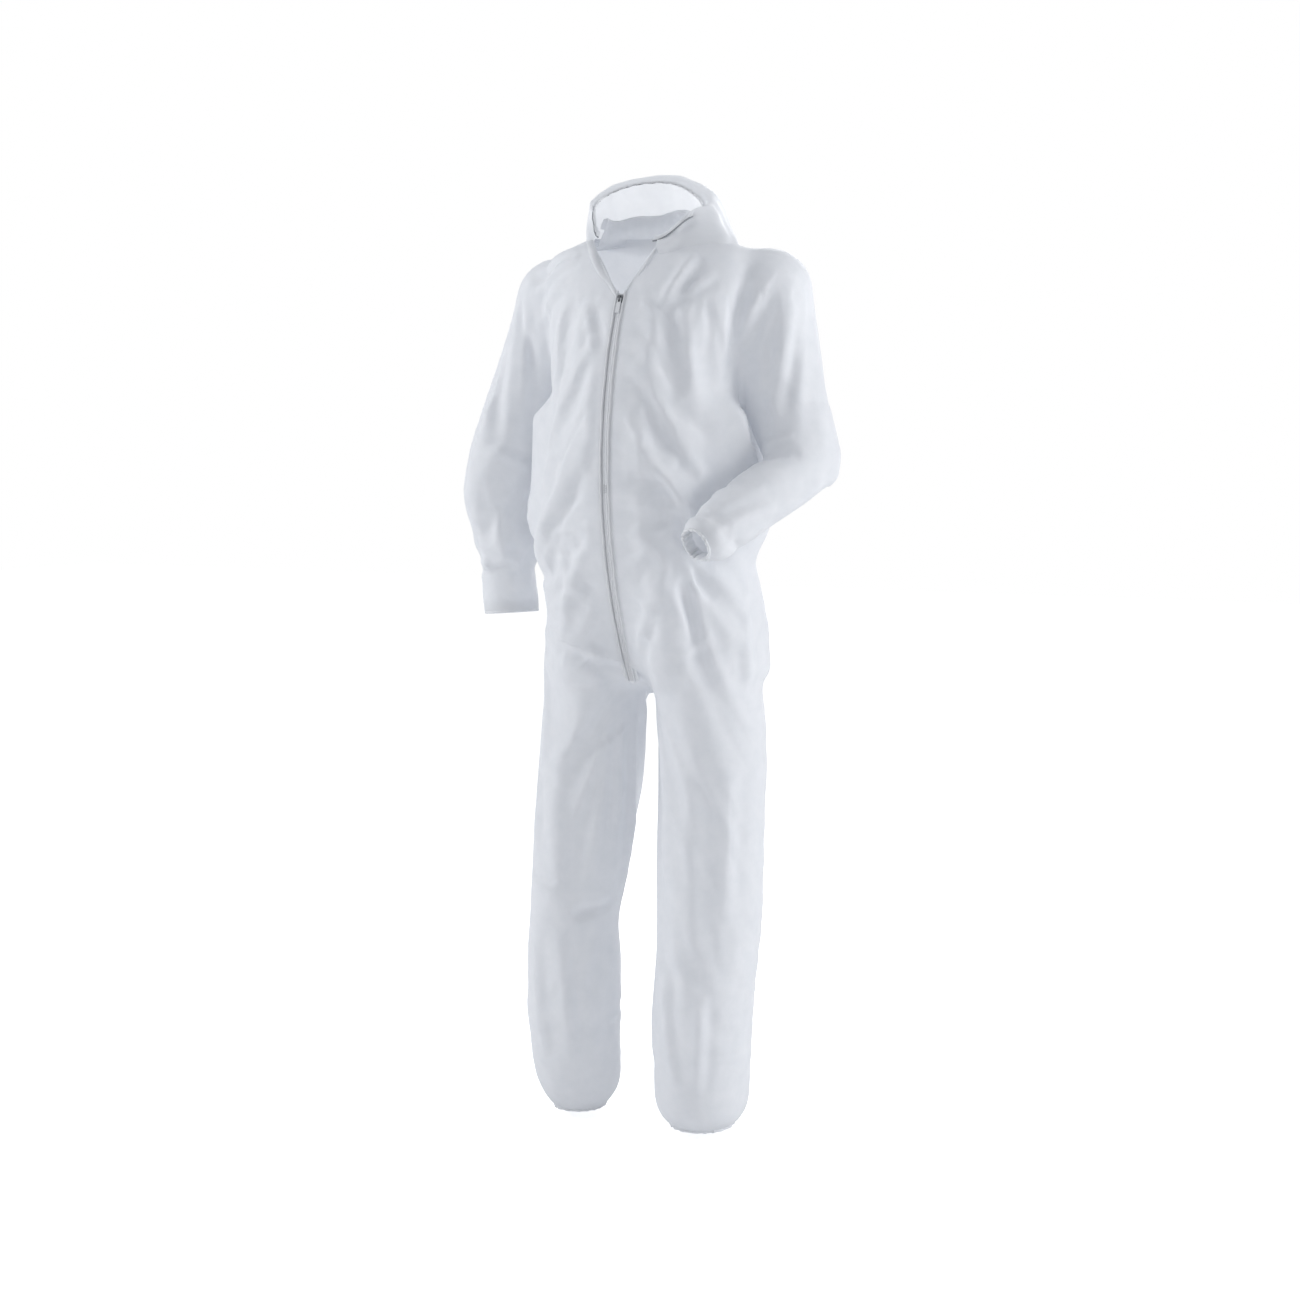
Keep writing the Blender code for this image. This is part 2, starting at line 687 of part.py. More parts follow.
def add_pull_tab(angle, proud):
    """A flat tab that hangs from a bar through the slider's lug."""
    frame = zip_frame(angle, proud)
    half = TAB_THICKNESS / 2
    tab = box_mesh((-TAB_HALF_WIDTH, -half, -TAB_LENGTH), (TAB_HALF_WIDTH, half, TAB_BAR / 2))
    tab = make_object("zip_pull_tab", tab, ZIP_METAL, frame)
    window = box_mesh((-TAB_WINDOW_HALF, -2 * half, -TAB_WINDOW_LENGTH),
                      (TAB_WINDOW_HALF, 2 * half, -TAB_BAR / 2))
    window = make_object("tab_window", window, ZIP_METAL, frame)
    hide_helper(window)
    add_cut(tab, window)


def add_bottom_stop():
    """The stop that joins the zip's two coils below the slider's travel."""
    step = SEAM_GAP / ZIP_RADIUS
    frame = zip_frame(ZIP_BOTTOM_ANGLE - step, 0.0)
    stop = box_mesh((-COIL_OUTER_X, -COIL_HALF_DEPTH, -0.004), (COIL_OUTER_X, COIL_HALF_DEPTH, 0))
    make_object("zip_bottom_stop", stop, ZIP_METAL, frame)


def add_zip():
    for side, hand in ((1, "left"), (-1, "right")):
        add_zip_strip("zip_coil_" + hand, side * COIL_INNER_X, side * COIL_OUTER_X,
                      COIL_HALF_DEPTH, ZIP_NYLON)
        add_zip_strip("zip_tape_" + hand, side * (COIL_OUTER_X + SEAM_GAP), side * TAPE_OUTER_X,
                      TAPE_HALF_DEPTH, SEAM_CLOTH)
    add_bottom_stop()
    add_zip_slider(ZIP_TOP_ANGLE - (SLIDER_LENGTH / 2 + 0.004) / ZIP_RADIUS)


# ---------------------------------------------------------------- the suit


def main():
    for obj in list(bpy.data.objects):
        bpy.data.objects.remove(obj)
    armhole_cutters = {
        "left": add_armhole_cutters("left", 1, ELBOW_LEFT),
        "right": add_armhole_cutters("right", -1, ELBOW_RIGHT),
    }
    add_body_panels(armhole_cutters)
    add_crotch_seam()
    add_waist_elastic()
    add_collars()
    add_sleeve("left", 1, ELBOW_LEFT, WRIST_LEFT, LOWER_SLEEVE_LEFT_TUBE, LEFT_ELBOW_MIDDLE)
    add_sleeve("right", -1, ELBOW_RIGHT, WRIST_RIGHT, LOWER_SLEEVE_RIGHT_TUBE, RIGHT_ELBOW_MIDDLE)
    add_leg("left", 1)
    add_leg("right", -1)
    add_hood()
    add_zip()


main()
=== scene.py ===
import math

import bmesh
import bpy
import numpy as np
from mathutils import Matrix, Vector
from mathutils.bvhtree import BVHTree


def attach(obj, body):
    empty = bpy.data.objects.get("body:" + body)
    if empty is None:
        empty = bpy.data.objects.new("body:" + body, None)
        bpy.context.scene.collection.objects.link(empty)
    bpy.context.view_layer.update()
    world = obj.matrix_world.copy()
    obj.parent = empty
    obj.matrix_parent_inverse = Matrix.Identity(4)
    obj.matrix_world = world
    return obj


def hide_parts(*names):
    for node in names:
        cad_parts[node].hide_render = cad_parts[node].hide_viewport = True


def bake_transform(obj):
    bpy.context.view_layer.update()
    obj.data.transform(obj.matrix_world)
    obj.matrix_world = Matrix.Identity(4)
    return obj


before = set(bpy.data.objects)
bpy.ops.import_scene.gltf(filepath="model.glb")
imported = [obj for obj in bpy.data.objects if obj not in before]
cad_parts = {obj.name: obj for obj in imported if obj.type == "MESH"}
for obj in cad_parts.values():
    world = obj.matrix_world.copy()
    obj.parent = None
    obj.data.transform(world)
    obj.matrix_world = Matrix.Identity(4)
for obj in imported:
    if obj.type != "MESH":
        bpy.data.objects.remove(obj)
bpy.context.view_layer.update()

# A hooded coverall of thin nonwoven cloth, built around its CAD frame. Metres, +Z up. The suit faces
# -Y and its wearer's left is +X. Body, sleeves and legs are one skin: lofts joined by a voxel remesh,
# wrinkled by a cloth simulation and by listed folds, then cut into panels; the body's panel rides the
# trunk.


def metres(rows):
    """Rows of numbers that are given in millimetres."""
    return np.array(rows, float) / 1000


# The view
CAMERA_AZIMUTH = math.radians(28)
CAMERA_DISTANCE = 3.55
CAMERA_Z = -0.30
AIM = Vector((0, 0, -0.635))
LENS = 61.4

# Skin
VOXEL = 0.0090
SMOOTH_ROUNDS = 10
RING_COLUMNS = 72
TUBE_STEPS = 48
LIMB_SAMPLES = 40
LEG_COLUMNS = 48
LEG_DEEP = 1.08
ARM_GAP = 0.030
ARMPIT_Z = -0.232
SEAT_Z = -0.65
SEAT_DEPTH = 0.040
SEAT_SHRINK = 0.55

# Zip arc in the plane x = 0, as in the CAD
ZIP_CENTRE_Y = 0.53871
ZIP_CENTRE_Z = -0.34487
ZIP_RADIUS = 0.68602
PANEL_FACE = 0.0026
ZIP_TOP_ANGLE = math.radians(23.166)
ZIP_BOTTOM_ANGLE = math.radians(-29.052)
SLOT_HALF_WIDTH = 0.0052

# Body outline, each as (height, value)
HALF_WIDTH = (
    (-0.745, 0.190), (-0.690, 0.1985), (-0.600, 0.198), (-0.500, 0.187), (-0.380, 0.167), (-0.300, 0.155),
    (-0.220, 0.152), (-0.150, 0.171), (-0.090, 0.178), (-0.050, 0.179), (-0.028, 0.178), (-0.012, 0.172),
    (0.0, 0.157), (0.010, 0.133), (0.020, 0.100), (0.040, 0.080),
)
BACK_Y = (
    (-0.745, 0.100), (-0.690, 0.111), (-0.600, 0.122), (-0.500, 0.105), (-0.380, 0.080), (-0.250, 0.099),
    (-0.150, 0.109), (-0.080, 0.101), (-0.040, 0.084), (0.0, 0.062), (0.040, 0.060),
)
THIGH_FRONT_Y = ((-0.745, -0.080), (-0.690, -0.103), (-0.620, -0.113), (-0.560, -0.122), (-0.500, -0.1335))
# How much narrower the wearer's right hip is than the left
RIGHT_HIP = ((-0.745, 0.98), (-0.690, 0.96), (-0.620, 0.90), (-0.560, 0.90), (-0.480, 0.98), (-0.420, 1.0))
SQUARENESS = ((-0.745, 3.0), (-0.690, 3.0), (-0.500, 2.4), (0.0, 2.2), (0.040, 2.0))
BODY_LEVELS = (
    -0.690, -0.680, -0.67, -0.66, -0.645, -0.62, -0.59, -0.56, -0.53, -0.50, -0.47, -0.44, -0.41,
    -0.38, -0.35, -0.32, -0.29, -0.26, -0.23, -0.20, -0.17, -0.14, -0.115, -0.09, -0.07, -0.052, -0.04,
    -0.031, -0.024, -0.018, -0.013, -0.009, -0.005, -0.001, 0.005, 0.015, 0.027, 0.040,
)
CENTRE_DENT_WIDTH = 0.045
CENTRE_FLAT = 0.013

# Neck opening: a V in the front, then level round the back
V_BOTTOM_Z = -0.078
V_TOP_Z = 0.020
V_SLOPE_LEFT = 2.0
V_SLOPE_RIGHT = 1.15

# Joints and cuffs
SHOULDER = Vector((0.183, 0.050, -0.090))
ELBOW_LEFT = Vector((0.258, 0.040, -0.342))
ELBOW_RIGHT = Vector((-0.276, 0.008, -0.345))
WRIST_LEFT = Vector((0.170, -0.172, -0.455))
WRIST_RIGHT = Vector((-0.258, 0.002, -0.580))
# Limbs, each as (x, y, z, radius) along its middle, in millimetres
ARM_LEFT = metres((
    (178, 50, -80, 71), (198, 48, -165, 68), (222, 45, -245, 64),
    (244, 36, -297, 61), (254, 12, -335, 50), (239, -25, -360, 48),
    (218, -66, -385, 47), (196, -115, -417, 46), (180, -150, -442, 44),
    (172.5, -166.5, -451.5, 38), (166.5, -180, -458, 27),
))
ARM_RIGHT = metres((
    (-192, 50, -85, 73), (-221, 44, -165, 69), (-254, 30, -250, 66.5),
    (-283, 10, -345, 62), (-274, 4, -430, 56), (-266, 3, -520, 50),
    (-260, 2, -580, 46.5), (-258, 2, -615, 45.5),
))
LEG_LEFT = metres((
    (103, 4, -640, 80), (112, 7, -720, 82), (116, 6, -800, 82.5),
    (120, -10, -920, 82), (126, -28, -1045, 82), (122, -34, -1120, 80),
    (115, -35, -1220, 80), (112, -34, -1300, 77), (112, -34, -1345, 75),
    (112, -34, -1370, 66), (112, -34, -1386, 48), (112, -34, -1400, 30),
))
LEG_RIGHT = metres((
    (-100, 4, -640, 80), (-103, 3, -720, 85), (-106, 0, -800, 87),
    (-113, -16, -920, 84), (-125, -36, -1050, 69), (-124, -37, -1120, 73.5),
    (-121, -36, -1220, 76.5), (-117, -35, -1300, 72.5), (-112, -34, -1340, 68),
    (-112, -34, -1366, 58), (-112, -34, -1384, 43), (-112, -34, -1398, 28),
))

# Rounded shoulders and the wearer's left elbow, each as a centre and a radius
JOINT_BALLS = (
    ((0.183, 0.048, -0.072), 0.0725), ((-0.192, 0.048, -0.075), 0.0735), ((0.262, 0.040, -0.322), 0.0520),
)

# Simulation. Each pair is the two ends of a range over which a hold or a freedom changes.
SIM_FRAMES = 28
SIM_CAP = 0.016
FILLER_DEPTH = 0.016
CLOTH_GAP = 0.003
CLOTH_SETTINGS = {
    "quality": 5, "mass": 0.05, "tension_stiffness": 12, "compression_stiffness": 12, "shear_stiffness": 4,
    "bending_stiffness": 0.4, "air_damping": 1.5, "shrink_min": -0.08, "vertex_group_mass": "held",
    "pin_stiffness": 1.0,
}
ZIP_HOLD = (0.012, 0.050)
SHOULDER_HOLD = (-0.110, -0.055)
ANKLE_HOLD = (-1.345, -1.372)
CUFF_HOLD = (-0.026, -0.008)
CUFF_REACH = 0.09
LEG_FREE = (-1.34, -1.18)
RIGHT_CUFF_FREE = (-0.565, -0.47)
RIGHT_CUFF_X = -0.19
RIGHT_CUFF_Z = -0.40
LEFT_ARM_REACH = 0.008
LEFT_ARM_FREEDOM = 0.55

# Sides that rest against the sleeves, and listed folds
SIDE_SWELL = 0.045
SIDE_REST = 0.007
SIDE_BOTTOM_Z = -0.50
FOLD_DEPTH = 1.25


# ---------------------------------------------------------------- curves and lofts


def curve(points, key):
    """The value at key of a smooth curve through (key, value) points in rising order."""
    keys = [p[0] for p in points]
    values = [p[1] for p in points]
    if key <= keys[0]:
        return values[0]
    if key >= keys[-1]:
        return values[-1]
    last = len(points) - 1
    i = max(k for k in range(last) if keys[k] <= key)

    def slope(k):
        low = max(k - 1, 0)
        high = min(k + 1, last)
        return (values[high] - values[low]) / (keys[high] - keys[low])

    span = keys[i + 1] - keys[i]
    t = (key - keys[i]) / span
    start = (2 * t**3 - 3 * t**2 + 1) * values[i] + (t**3 - 2 * t**2 + t) * span * slope(i)
    end = (3 * t**2 - 2 * t**3) * values[i + 1] + (t**3 - t**2) * span * slope(i + 1)
    return start + end


def along(points, steps=LIMB_SAMPLES):
    """steps + 1 samples of a smooth curve through rows of numbers, evenly by row."""
    rows = np.array(points, float)
    last = len(rows) - 1
    samples = []
    for k in range(steps + 1):
        key = last * k / steps
        samples.append([curve(list(enumerate(rows[:, c])), key) for c in range(rows.shape[1])])
    return np.array(samples)


def smoothstep(low, high, value):
    t = np.clip((value - low) / (high - low), 0, 1)
    return t * t * (3 - 2 * t)


def front_line_y(z):
    radius = ZIP_RADIUS + PANEL_FACE
    return ZIP_CENTRE_Y - math.sqrt(radius**2 - (z - ZIP_CENTRE_Z) ** 2)


def body_point(angle, z):
    """A point of the body at an angle from the centre front, towards the wearer's left."""
    half_width = curve(HALF_WIDTH, z)
    back = curve(BACK_Y, z)
    front = front_line_y(z)
    thigh_front = front
    if z < THIGH_FRONT_Y[-1][0]:
        thigh_front = curve(THIGH_FRONT_Y, z)
    power = curve(SQUARENESS, z)
    middle = (thigh_front + back) / 2
    depth = (back - thigh_front) / 2
    across = abs(math.sin(angle)) / half_width
    deep = abs(math.cos(angle)) / depth
    radius = (across**power + deep**power) ** (-1 / power)
    x = radius * math.sin(angle)
    if x < 0:
        x *= curve(RIGHT_HIP, z)
    y = middle - radius * math.cos(angle)
    if math.cos(angle) > 0:
        off = max(0.0, abs(x) - CENTRE_FLAT) / CENTRE_DENT_WIDTH
        y += (front - thigh_front) * math.exp(-(off**2))
    return Vector((x, y, z))


def ring_faces(rows, columns, closed=True):
    faces = []
    for i in range(rows - 1):
        for j in range(columns if closed else columns - 1):
            k = (j + 1) % columns
            faces.append((i * columns + j, i * columns + k, (i + 1) * columns + k, (i + 1) * columns + j))
    return faces


def clear_of_arms(point):
    """The point moved off the sleeves that hang beside the body or lie against it."""
    blend_top = ARMPIT_Z + 0.006
    for path in (ARM_LEFT, ARM_RIGHT):
        rows = along(path)
        rows = rows[rows[:, 2] < ARMPIT_Z + 0.01]
        gaps = np.linalg.norm(rows[:, :3] - np.array(point), axis=1)
        nearest = int(np.argmin(gaps - rows[:, 3]))
        apart = ARM_GAP * smoothstep(blend_top, ARMPIT_Z - 0.016, point.z)
        needed = float(rows[nearest, 3] + apart)
        if point.z > blend_top or gaps[nearest] >= needed:
            continue
        centre = Vector(rows[nearest, :3])
        point = centre + (point - centre) * float(needed / gaps[nearest])
    return point


def closed_faces(rows, columns):
    """The faces of a tube of rings that is closed at both ends."""
    faces = ring_faces(rows, columns)
    faces.append(tuple(reversed(range(columns))))
    faces.append(tuple(range((rows - 1) * columns, rows * columns)))
    return faces


def body_loft():
    points = []
    for z in BODY_LEVELS:
        for j in range(RING_COLUMNS):
            angle = 2 * math.pi * j / RING_COLUMNS
            point = body_point(angle, z)
            if z < SEAT_Z:
                shrink = 1 - SEAT_SHRINK * ((SEAT_Z - z) / SEAT_DEPTH) ** 2
                point = Vector((point.x * shrink, point.y * shrink, z))
            points.append(tuple(clear_of_arms(point)))
    return points, closed_faces(len(BODY_LEVELS), RING_COLUMNS)


def tube_loft(path, columns=36, deep=1.0):
    """A closed tube of rings round a path of (x, y, z, radius) rows; deep scales its depth along Y."""
    rows = along(path, TUBE_STEPS)
    centres = [Vector(row[:3]) for row in rows]
    points = []
    side = Vector((1, 0, 0))
    for i, centre in enumerate(centres):
        ahead = centres[min(i + 1, len(centres) - 1)] - centres[max(i - 1, 0)]
        ahead.normalize()
        side = (side - side.dot(ahead) * ahead).normalized()
        other = ahead.cross(side)
        for j in range(columns):
            turn = 2 * math.pi * j / columns
            offset = float(rows[i][3]) * (math.cos(turn) * side + math.sin(turn) * deep * other)
            points.append(tuple(centre + offset))
    return points, closed_faces(len(rows), columns)


def ball(centre, radius):
    bm = bmesh.new()
    bmesh.ops.create_icosphere(bm, subdivisions=3, radius=radius)
    points = [tuple(Vector(centre) + v.co) for v in bm.verts]
    faces = [tuple(v.index for v in f.verts) for f in bm.faces]
    bm.free()
    return points, faces


def joined_mesh(name, parts):
    points = []
    faces = []
    for part_points, part_faces in parts:
        offset = len(points)
        points += part_points
        faces += [tuple(i + offset for i in face) for face in part_faces]
    bm = bmesh.new()
    verts = [bm.verts.new(p) for p in points]
    for face in faces:
        bm.faces.new([verts[i] for i in face])
    mesh = bpy.data.meshes.new(name)
    bm.to_mesh(mesh)
    bm.free()
    return mesh


def add_object(name, data):
    obj = bpy.data.objects.new(name, data)
    bpy.context.scene.collection.objects.link(obj)
    return obj


def applied(obj, name):
    """A new mesh with the object's modifiers applied."""
    bpy.context.view_layer.update()
    depsgraph = bpy.context.evaluated_depsgraph_get()
    mesh = bpy.data.meshes.new_from_object(obj.evaluated_get(depsgraph))
    mesh.name = name
    return mesh


def point_vectors(mesh, source, key):
    """A vector for each of the mesh's points, read from one of its collections."""
    values = np.empty(len(mesh.vertices) * 3, np.float32)
    source.foreach_get(key, values)
    return values.reshape(-1, 3).astype(float)


def coordinates(mesh):
    return point_vectors(mesh, mesh.vertices, "co")


def vertex_normals(mesh):
    return point_vectors(mesh, mesh.vertex_normals, "vector")


def birth_points(mesh):
    """Where each point was before any wrinkling, which tells the sleeves from the body."""
    return point_vectors(mesh, mesh.attributes["birth"].data, "vector")


def set_coordinates(mesh, co):
    mesh.vertices.foreach_set("co", co.astype(np.float32).ravel())
    mesh.update()


def edge_pairs(mesh):
    edges = np.empty(len(mesh.edges) * 2, np.int32)
    mesh.edges.foreach_get("vertices", edges)
    return edges.reshape(-1, 2)


def smoothed(co, edges, rounds, share=0.5):
    count = np.bincount(edges.ravel(), minlength=len(co)).astype(float)[:, None]
    count[count == 0] = 1
    for _ in range(rounds):
        total = np.zeros_like(co)
        np.add.at(total, edges[:, 0], co[edges[:, 1]])
        np.add.at(total, edges[:, 1], co[edges[:, 0]])
        co = co + share * (total / count - co)
    return co


def make_skin():
    parts = [body_loft()]
    parts += [tube_loft(path) for path in (ARM_LEFT, ARM_RIGHT)]
    parts += [tube_loft(path, LEG_COLUMNS, LEG_DEEP) for path in (LEG_LEFT, LEG_RIGHT)]
    parts += [ball(centre, radius) for centre, radius in JOINT_BALLS]
    raw = add_object("raw", joined_mesh("raw", parts))
    remesh = raw.modifiers.new("Remesh", "REMESH")
    remesh.mode = "VOXEL"
    remesh.voxel_size = VOXEL
    mesh = applied(raw, "skin")
    bpy.data.objects.remove(raw)
    set_coordinates(mesh, smoothed(coordinates(mesh), edge_pairs(mesh), SMOOTH_ROUNDS))
    birth = mesh.attributes.new("birth", "FLOAT_VECTOR", "POINT")
    birth.data.foreach_set("vector", coordinates(mesh).astype(np.float32).ravel())
    return mesh


# ---------------------------------------------------------------- wrinkles by simulation


def near_front_centre(co):
    """1 beside the zip, falling to 0 away from it."""
    front = (co[:, 1] < 0.0) & (co[:, 2] > -0.72)
    return front * (1 - smoothstep(*ZIP_HOLD, np.abs(co[:, 0])))


def held(co):
    """How firmly each point is held: the shoulders, the zip, the neck, the cuffs and the ankles."""
    weight = smoothstep(*SHOULDER_HOLD, co[:, 2])
    weight = np.maximum(weight, near_front_centre(co))
    weight = np.maximum(weight, smoothstep(*ANKLE_HOLD, co[:, 2]))
    for wrist, elbow in ((WRIST_LEFT, ELBOW_LEFT), (WRIST_RIGHT, ELBOW_RIGHT)):
        towards = np.array((wrist - elbow).normalized())
        ahead = (co - np.array(wrist)) @ towards
        near = np.linalg.norm(co - np.array(wrist), axis=1) < CUFF_REACH
        weight = np.maximum(weight, near * smoothstep(*CUFF_HOLD, ahead))
    return weight


def freedom(co):
    """How much of the simulated move each point keeps: little near the cuffs and the ankles."""
    x = co[:, 0]
    z = co[:, 2]
    free = smoothstep(*LEG_FREE, z)
    right_cuff = (x < RIGHT_CUFF_X) & (z < RIGHT_CUFF_Z)
    free = np.where(right_cuff, np.minimum(free, smoothstep(*RIGHT_CUFF_FREE, z)), free)
    left_arm = arm_gap(co, ARM_LEFT) < LEFT_ARM_REACH
    return np.where(left_arm & (z < ARMPIT_Z), LEFT_ARM_FREEDOM * free, free)


def simulate(mesh):
    """Lets slack cloth fall over a slightly smaller filler, and returns the settled points."""
    start = coordinates(mesh)
    normals = vertex_normals(mesh)
    filler = add_object("filler", mesh.copy())
    set_coordinates(filler.data, smoothed(start - FILLER_DEPTH * normals, edge_pairs(mesh), 6))
    collision = filler.modifiers.new("Collision", "COLLISION")
    collision.settings.thickness_outer = CLOTH_GAP
    collision.settings.cloth_friction = 8
    cloth_object = add_object("cloth", mesh.copy())
    group = cloth_object.vertex_groups.new(name="held")
    for index, weight in enumerate(held(start)):
        if weight > 0.01:
            group.add([index], float(weight), "REPLACE")
    cloth = cloth_object.modifiers.new("Cloth", "CLOTH")
    for key, value in CLOTH_SETTINGS.items():
        setattr(cloth.settings, key, value)
    cloth.collision_settings.distance_min = CLOTH_GAP
    cloth.collision_settings.use_self_collision = False
    scene = bpy.context.scene
    for number in range(1, SIM_FRAMES + 1):
        scene.frame_set(number)
    settled = coordinates(applied(cloth_object, "settled"))
    scene.frame_set(1)
    bpy.data.objects.remove(cloth_object)
    bpy.data.objects.remove(filler)
    move = settled - start
    length = np.linalg.norm(move, axis=1)[:, None]
    limit = SIM_CAP * (1 - held(start))[:, None] * freedom(start)[:, None]
    move *= np.minimum(1, limit / np.maximum(length, 1e-9))
    return start + smoothed(move, edge_pairs(mesh), 1)


def subdivided(mesh, name):
    obj = add_object(name, mesh)
    modifier = obj.modifiers.new("Subdivision", "SUBSURF")
    modifier.levels = 1
    modifier.render_levels = 1
    result = applied(obj, name)
    bpy.data.objects.remove(obj)
    return result


# ---------------------------------------------------------------- listed folds


def raise_fold(co, normals, line, height, width, valley):
    """Adds one fold along a line of (x, y, z) points: a ridge, and a valley beside it.

    A negative valley puts it on the ridge's other side. Both fade out towards the line's ends.
    """
    steps = np.linalg.norm(np.diff(line, axis=0), axis=1)
    starts = np.concatenate([[0], np.cumsum(steps)])
    total = starts[-1]
    low = line.min(axis=0) - 5 * width
    high = line.max(axis=0) + 5 * width
    near = np.where(((co > low) & (co < high)).all(axis=1))[0]
    if len(near) == 0:
        return
    points = co[near]
    best = np.full(len(near), 1e9)
    lateral = np.zeros(len(near))
    share = np.zeros(len(near))
    for k, step in enumerate(steps):
        direction = (line[k + 1] - line[k]) / step
        offset = points - line[k]
        t = np.clip(offset @ direction, 0, step)
        gap = offset - t[:, None] * direction
        distance = np.linalg.norm(gap, axis=1)
        closer = distance < best
        side = np.sign(np.einsum("ij,ij->i", gap, np.cross(normals[near], direction)))
        best = np.where(closer, distance, best)
        lateral = np.where(closer, side * distance, lateral)
        share = np.where(closer, (starts[k] + t) / total, share)
    fade = np.sin(np.pi * np.clip(share, 0, 1)) ** 0.6
    across = lateral * (1 if valley >= 0 else -1)
    ridge = np.exp(-((across / width) ** 2))
    dip = abs(valley) * np.exp(-(((across - 1.5 * width) / width) ** 2))
    co[near] += normals[near] * (height * fade * (ridge - dip))[:, None]


def lean_on_arms(co, birth):
    """Swells the body's sides below the armpits until they rest against the sleeves."""
    for side, path in ((1, ARM_LEFT), (-1, ARM_RIGHT)):
        beside = (side * co[:, 0] > 0.06) & (co[:, 2] < ARMPIT_Z + 0.01) & (co[:, 2] > SIDE_BOTTOM_Z)
        chosen = np.where(beside)[0]
        chosen = chosen[arm_gap(birth[chosen], path) > 0.5 * ARM_GAP]
        gap = arm_gap(co[chosen], path)
        height = smoothstep(ARMPIT_Z + 0.01, ARMPIT_Z - 0.035, co[chosen, 2])
        height = height * smoothstep(SIDE_BOTTOM_Z, SIDE_BOTTOM_Z + 0.08, co[chosen, 2])
        depth = smoothstep(-0.09, -0.02, co[chosen, 1]) * smoothstep(0.125, 0.09, co[chosen, 1])
        aside = smoothstep(0.06, 0.14, side * co[chosen, 0])
        reach = np.clip(gap - SIDE_REST, 0, SIDE_SWELL)
        co[chosen, 0] += side * reach * height * depth * aside
    return co


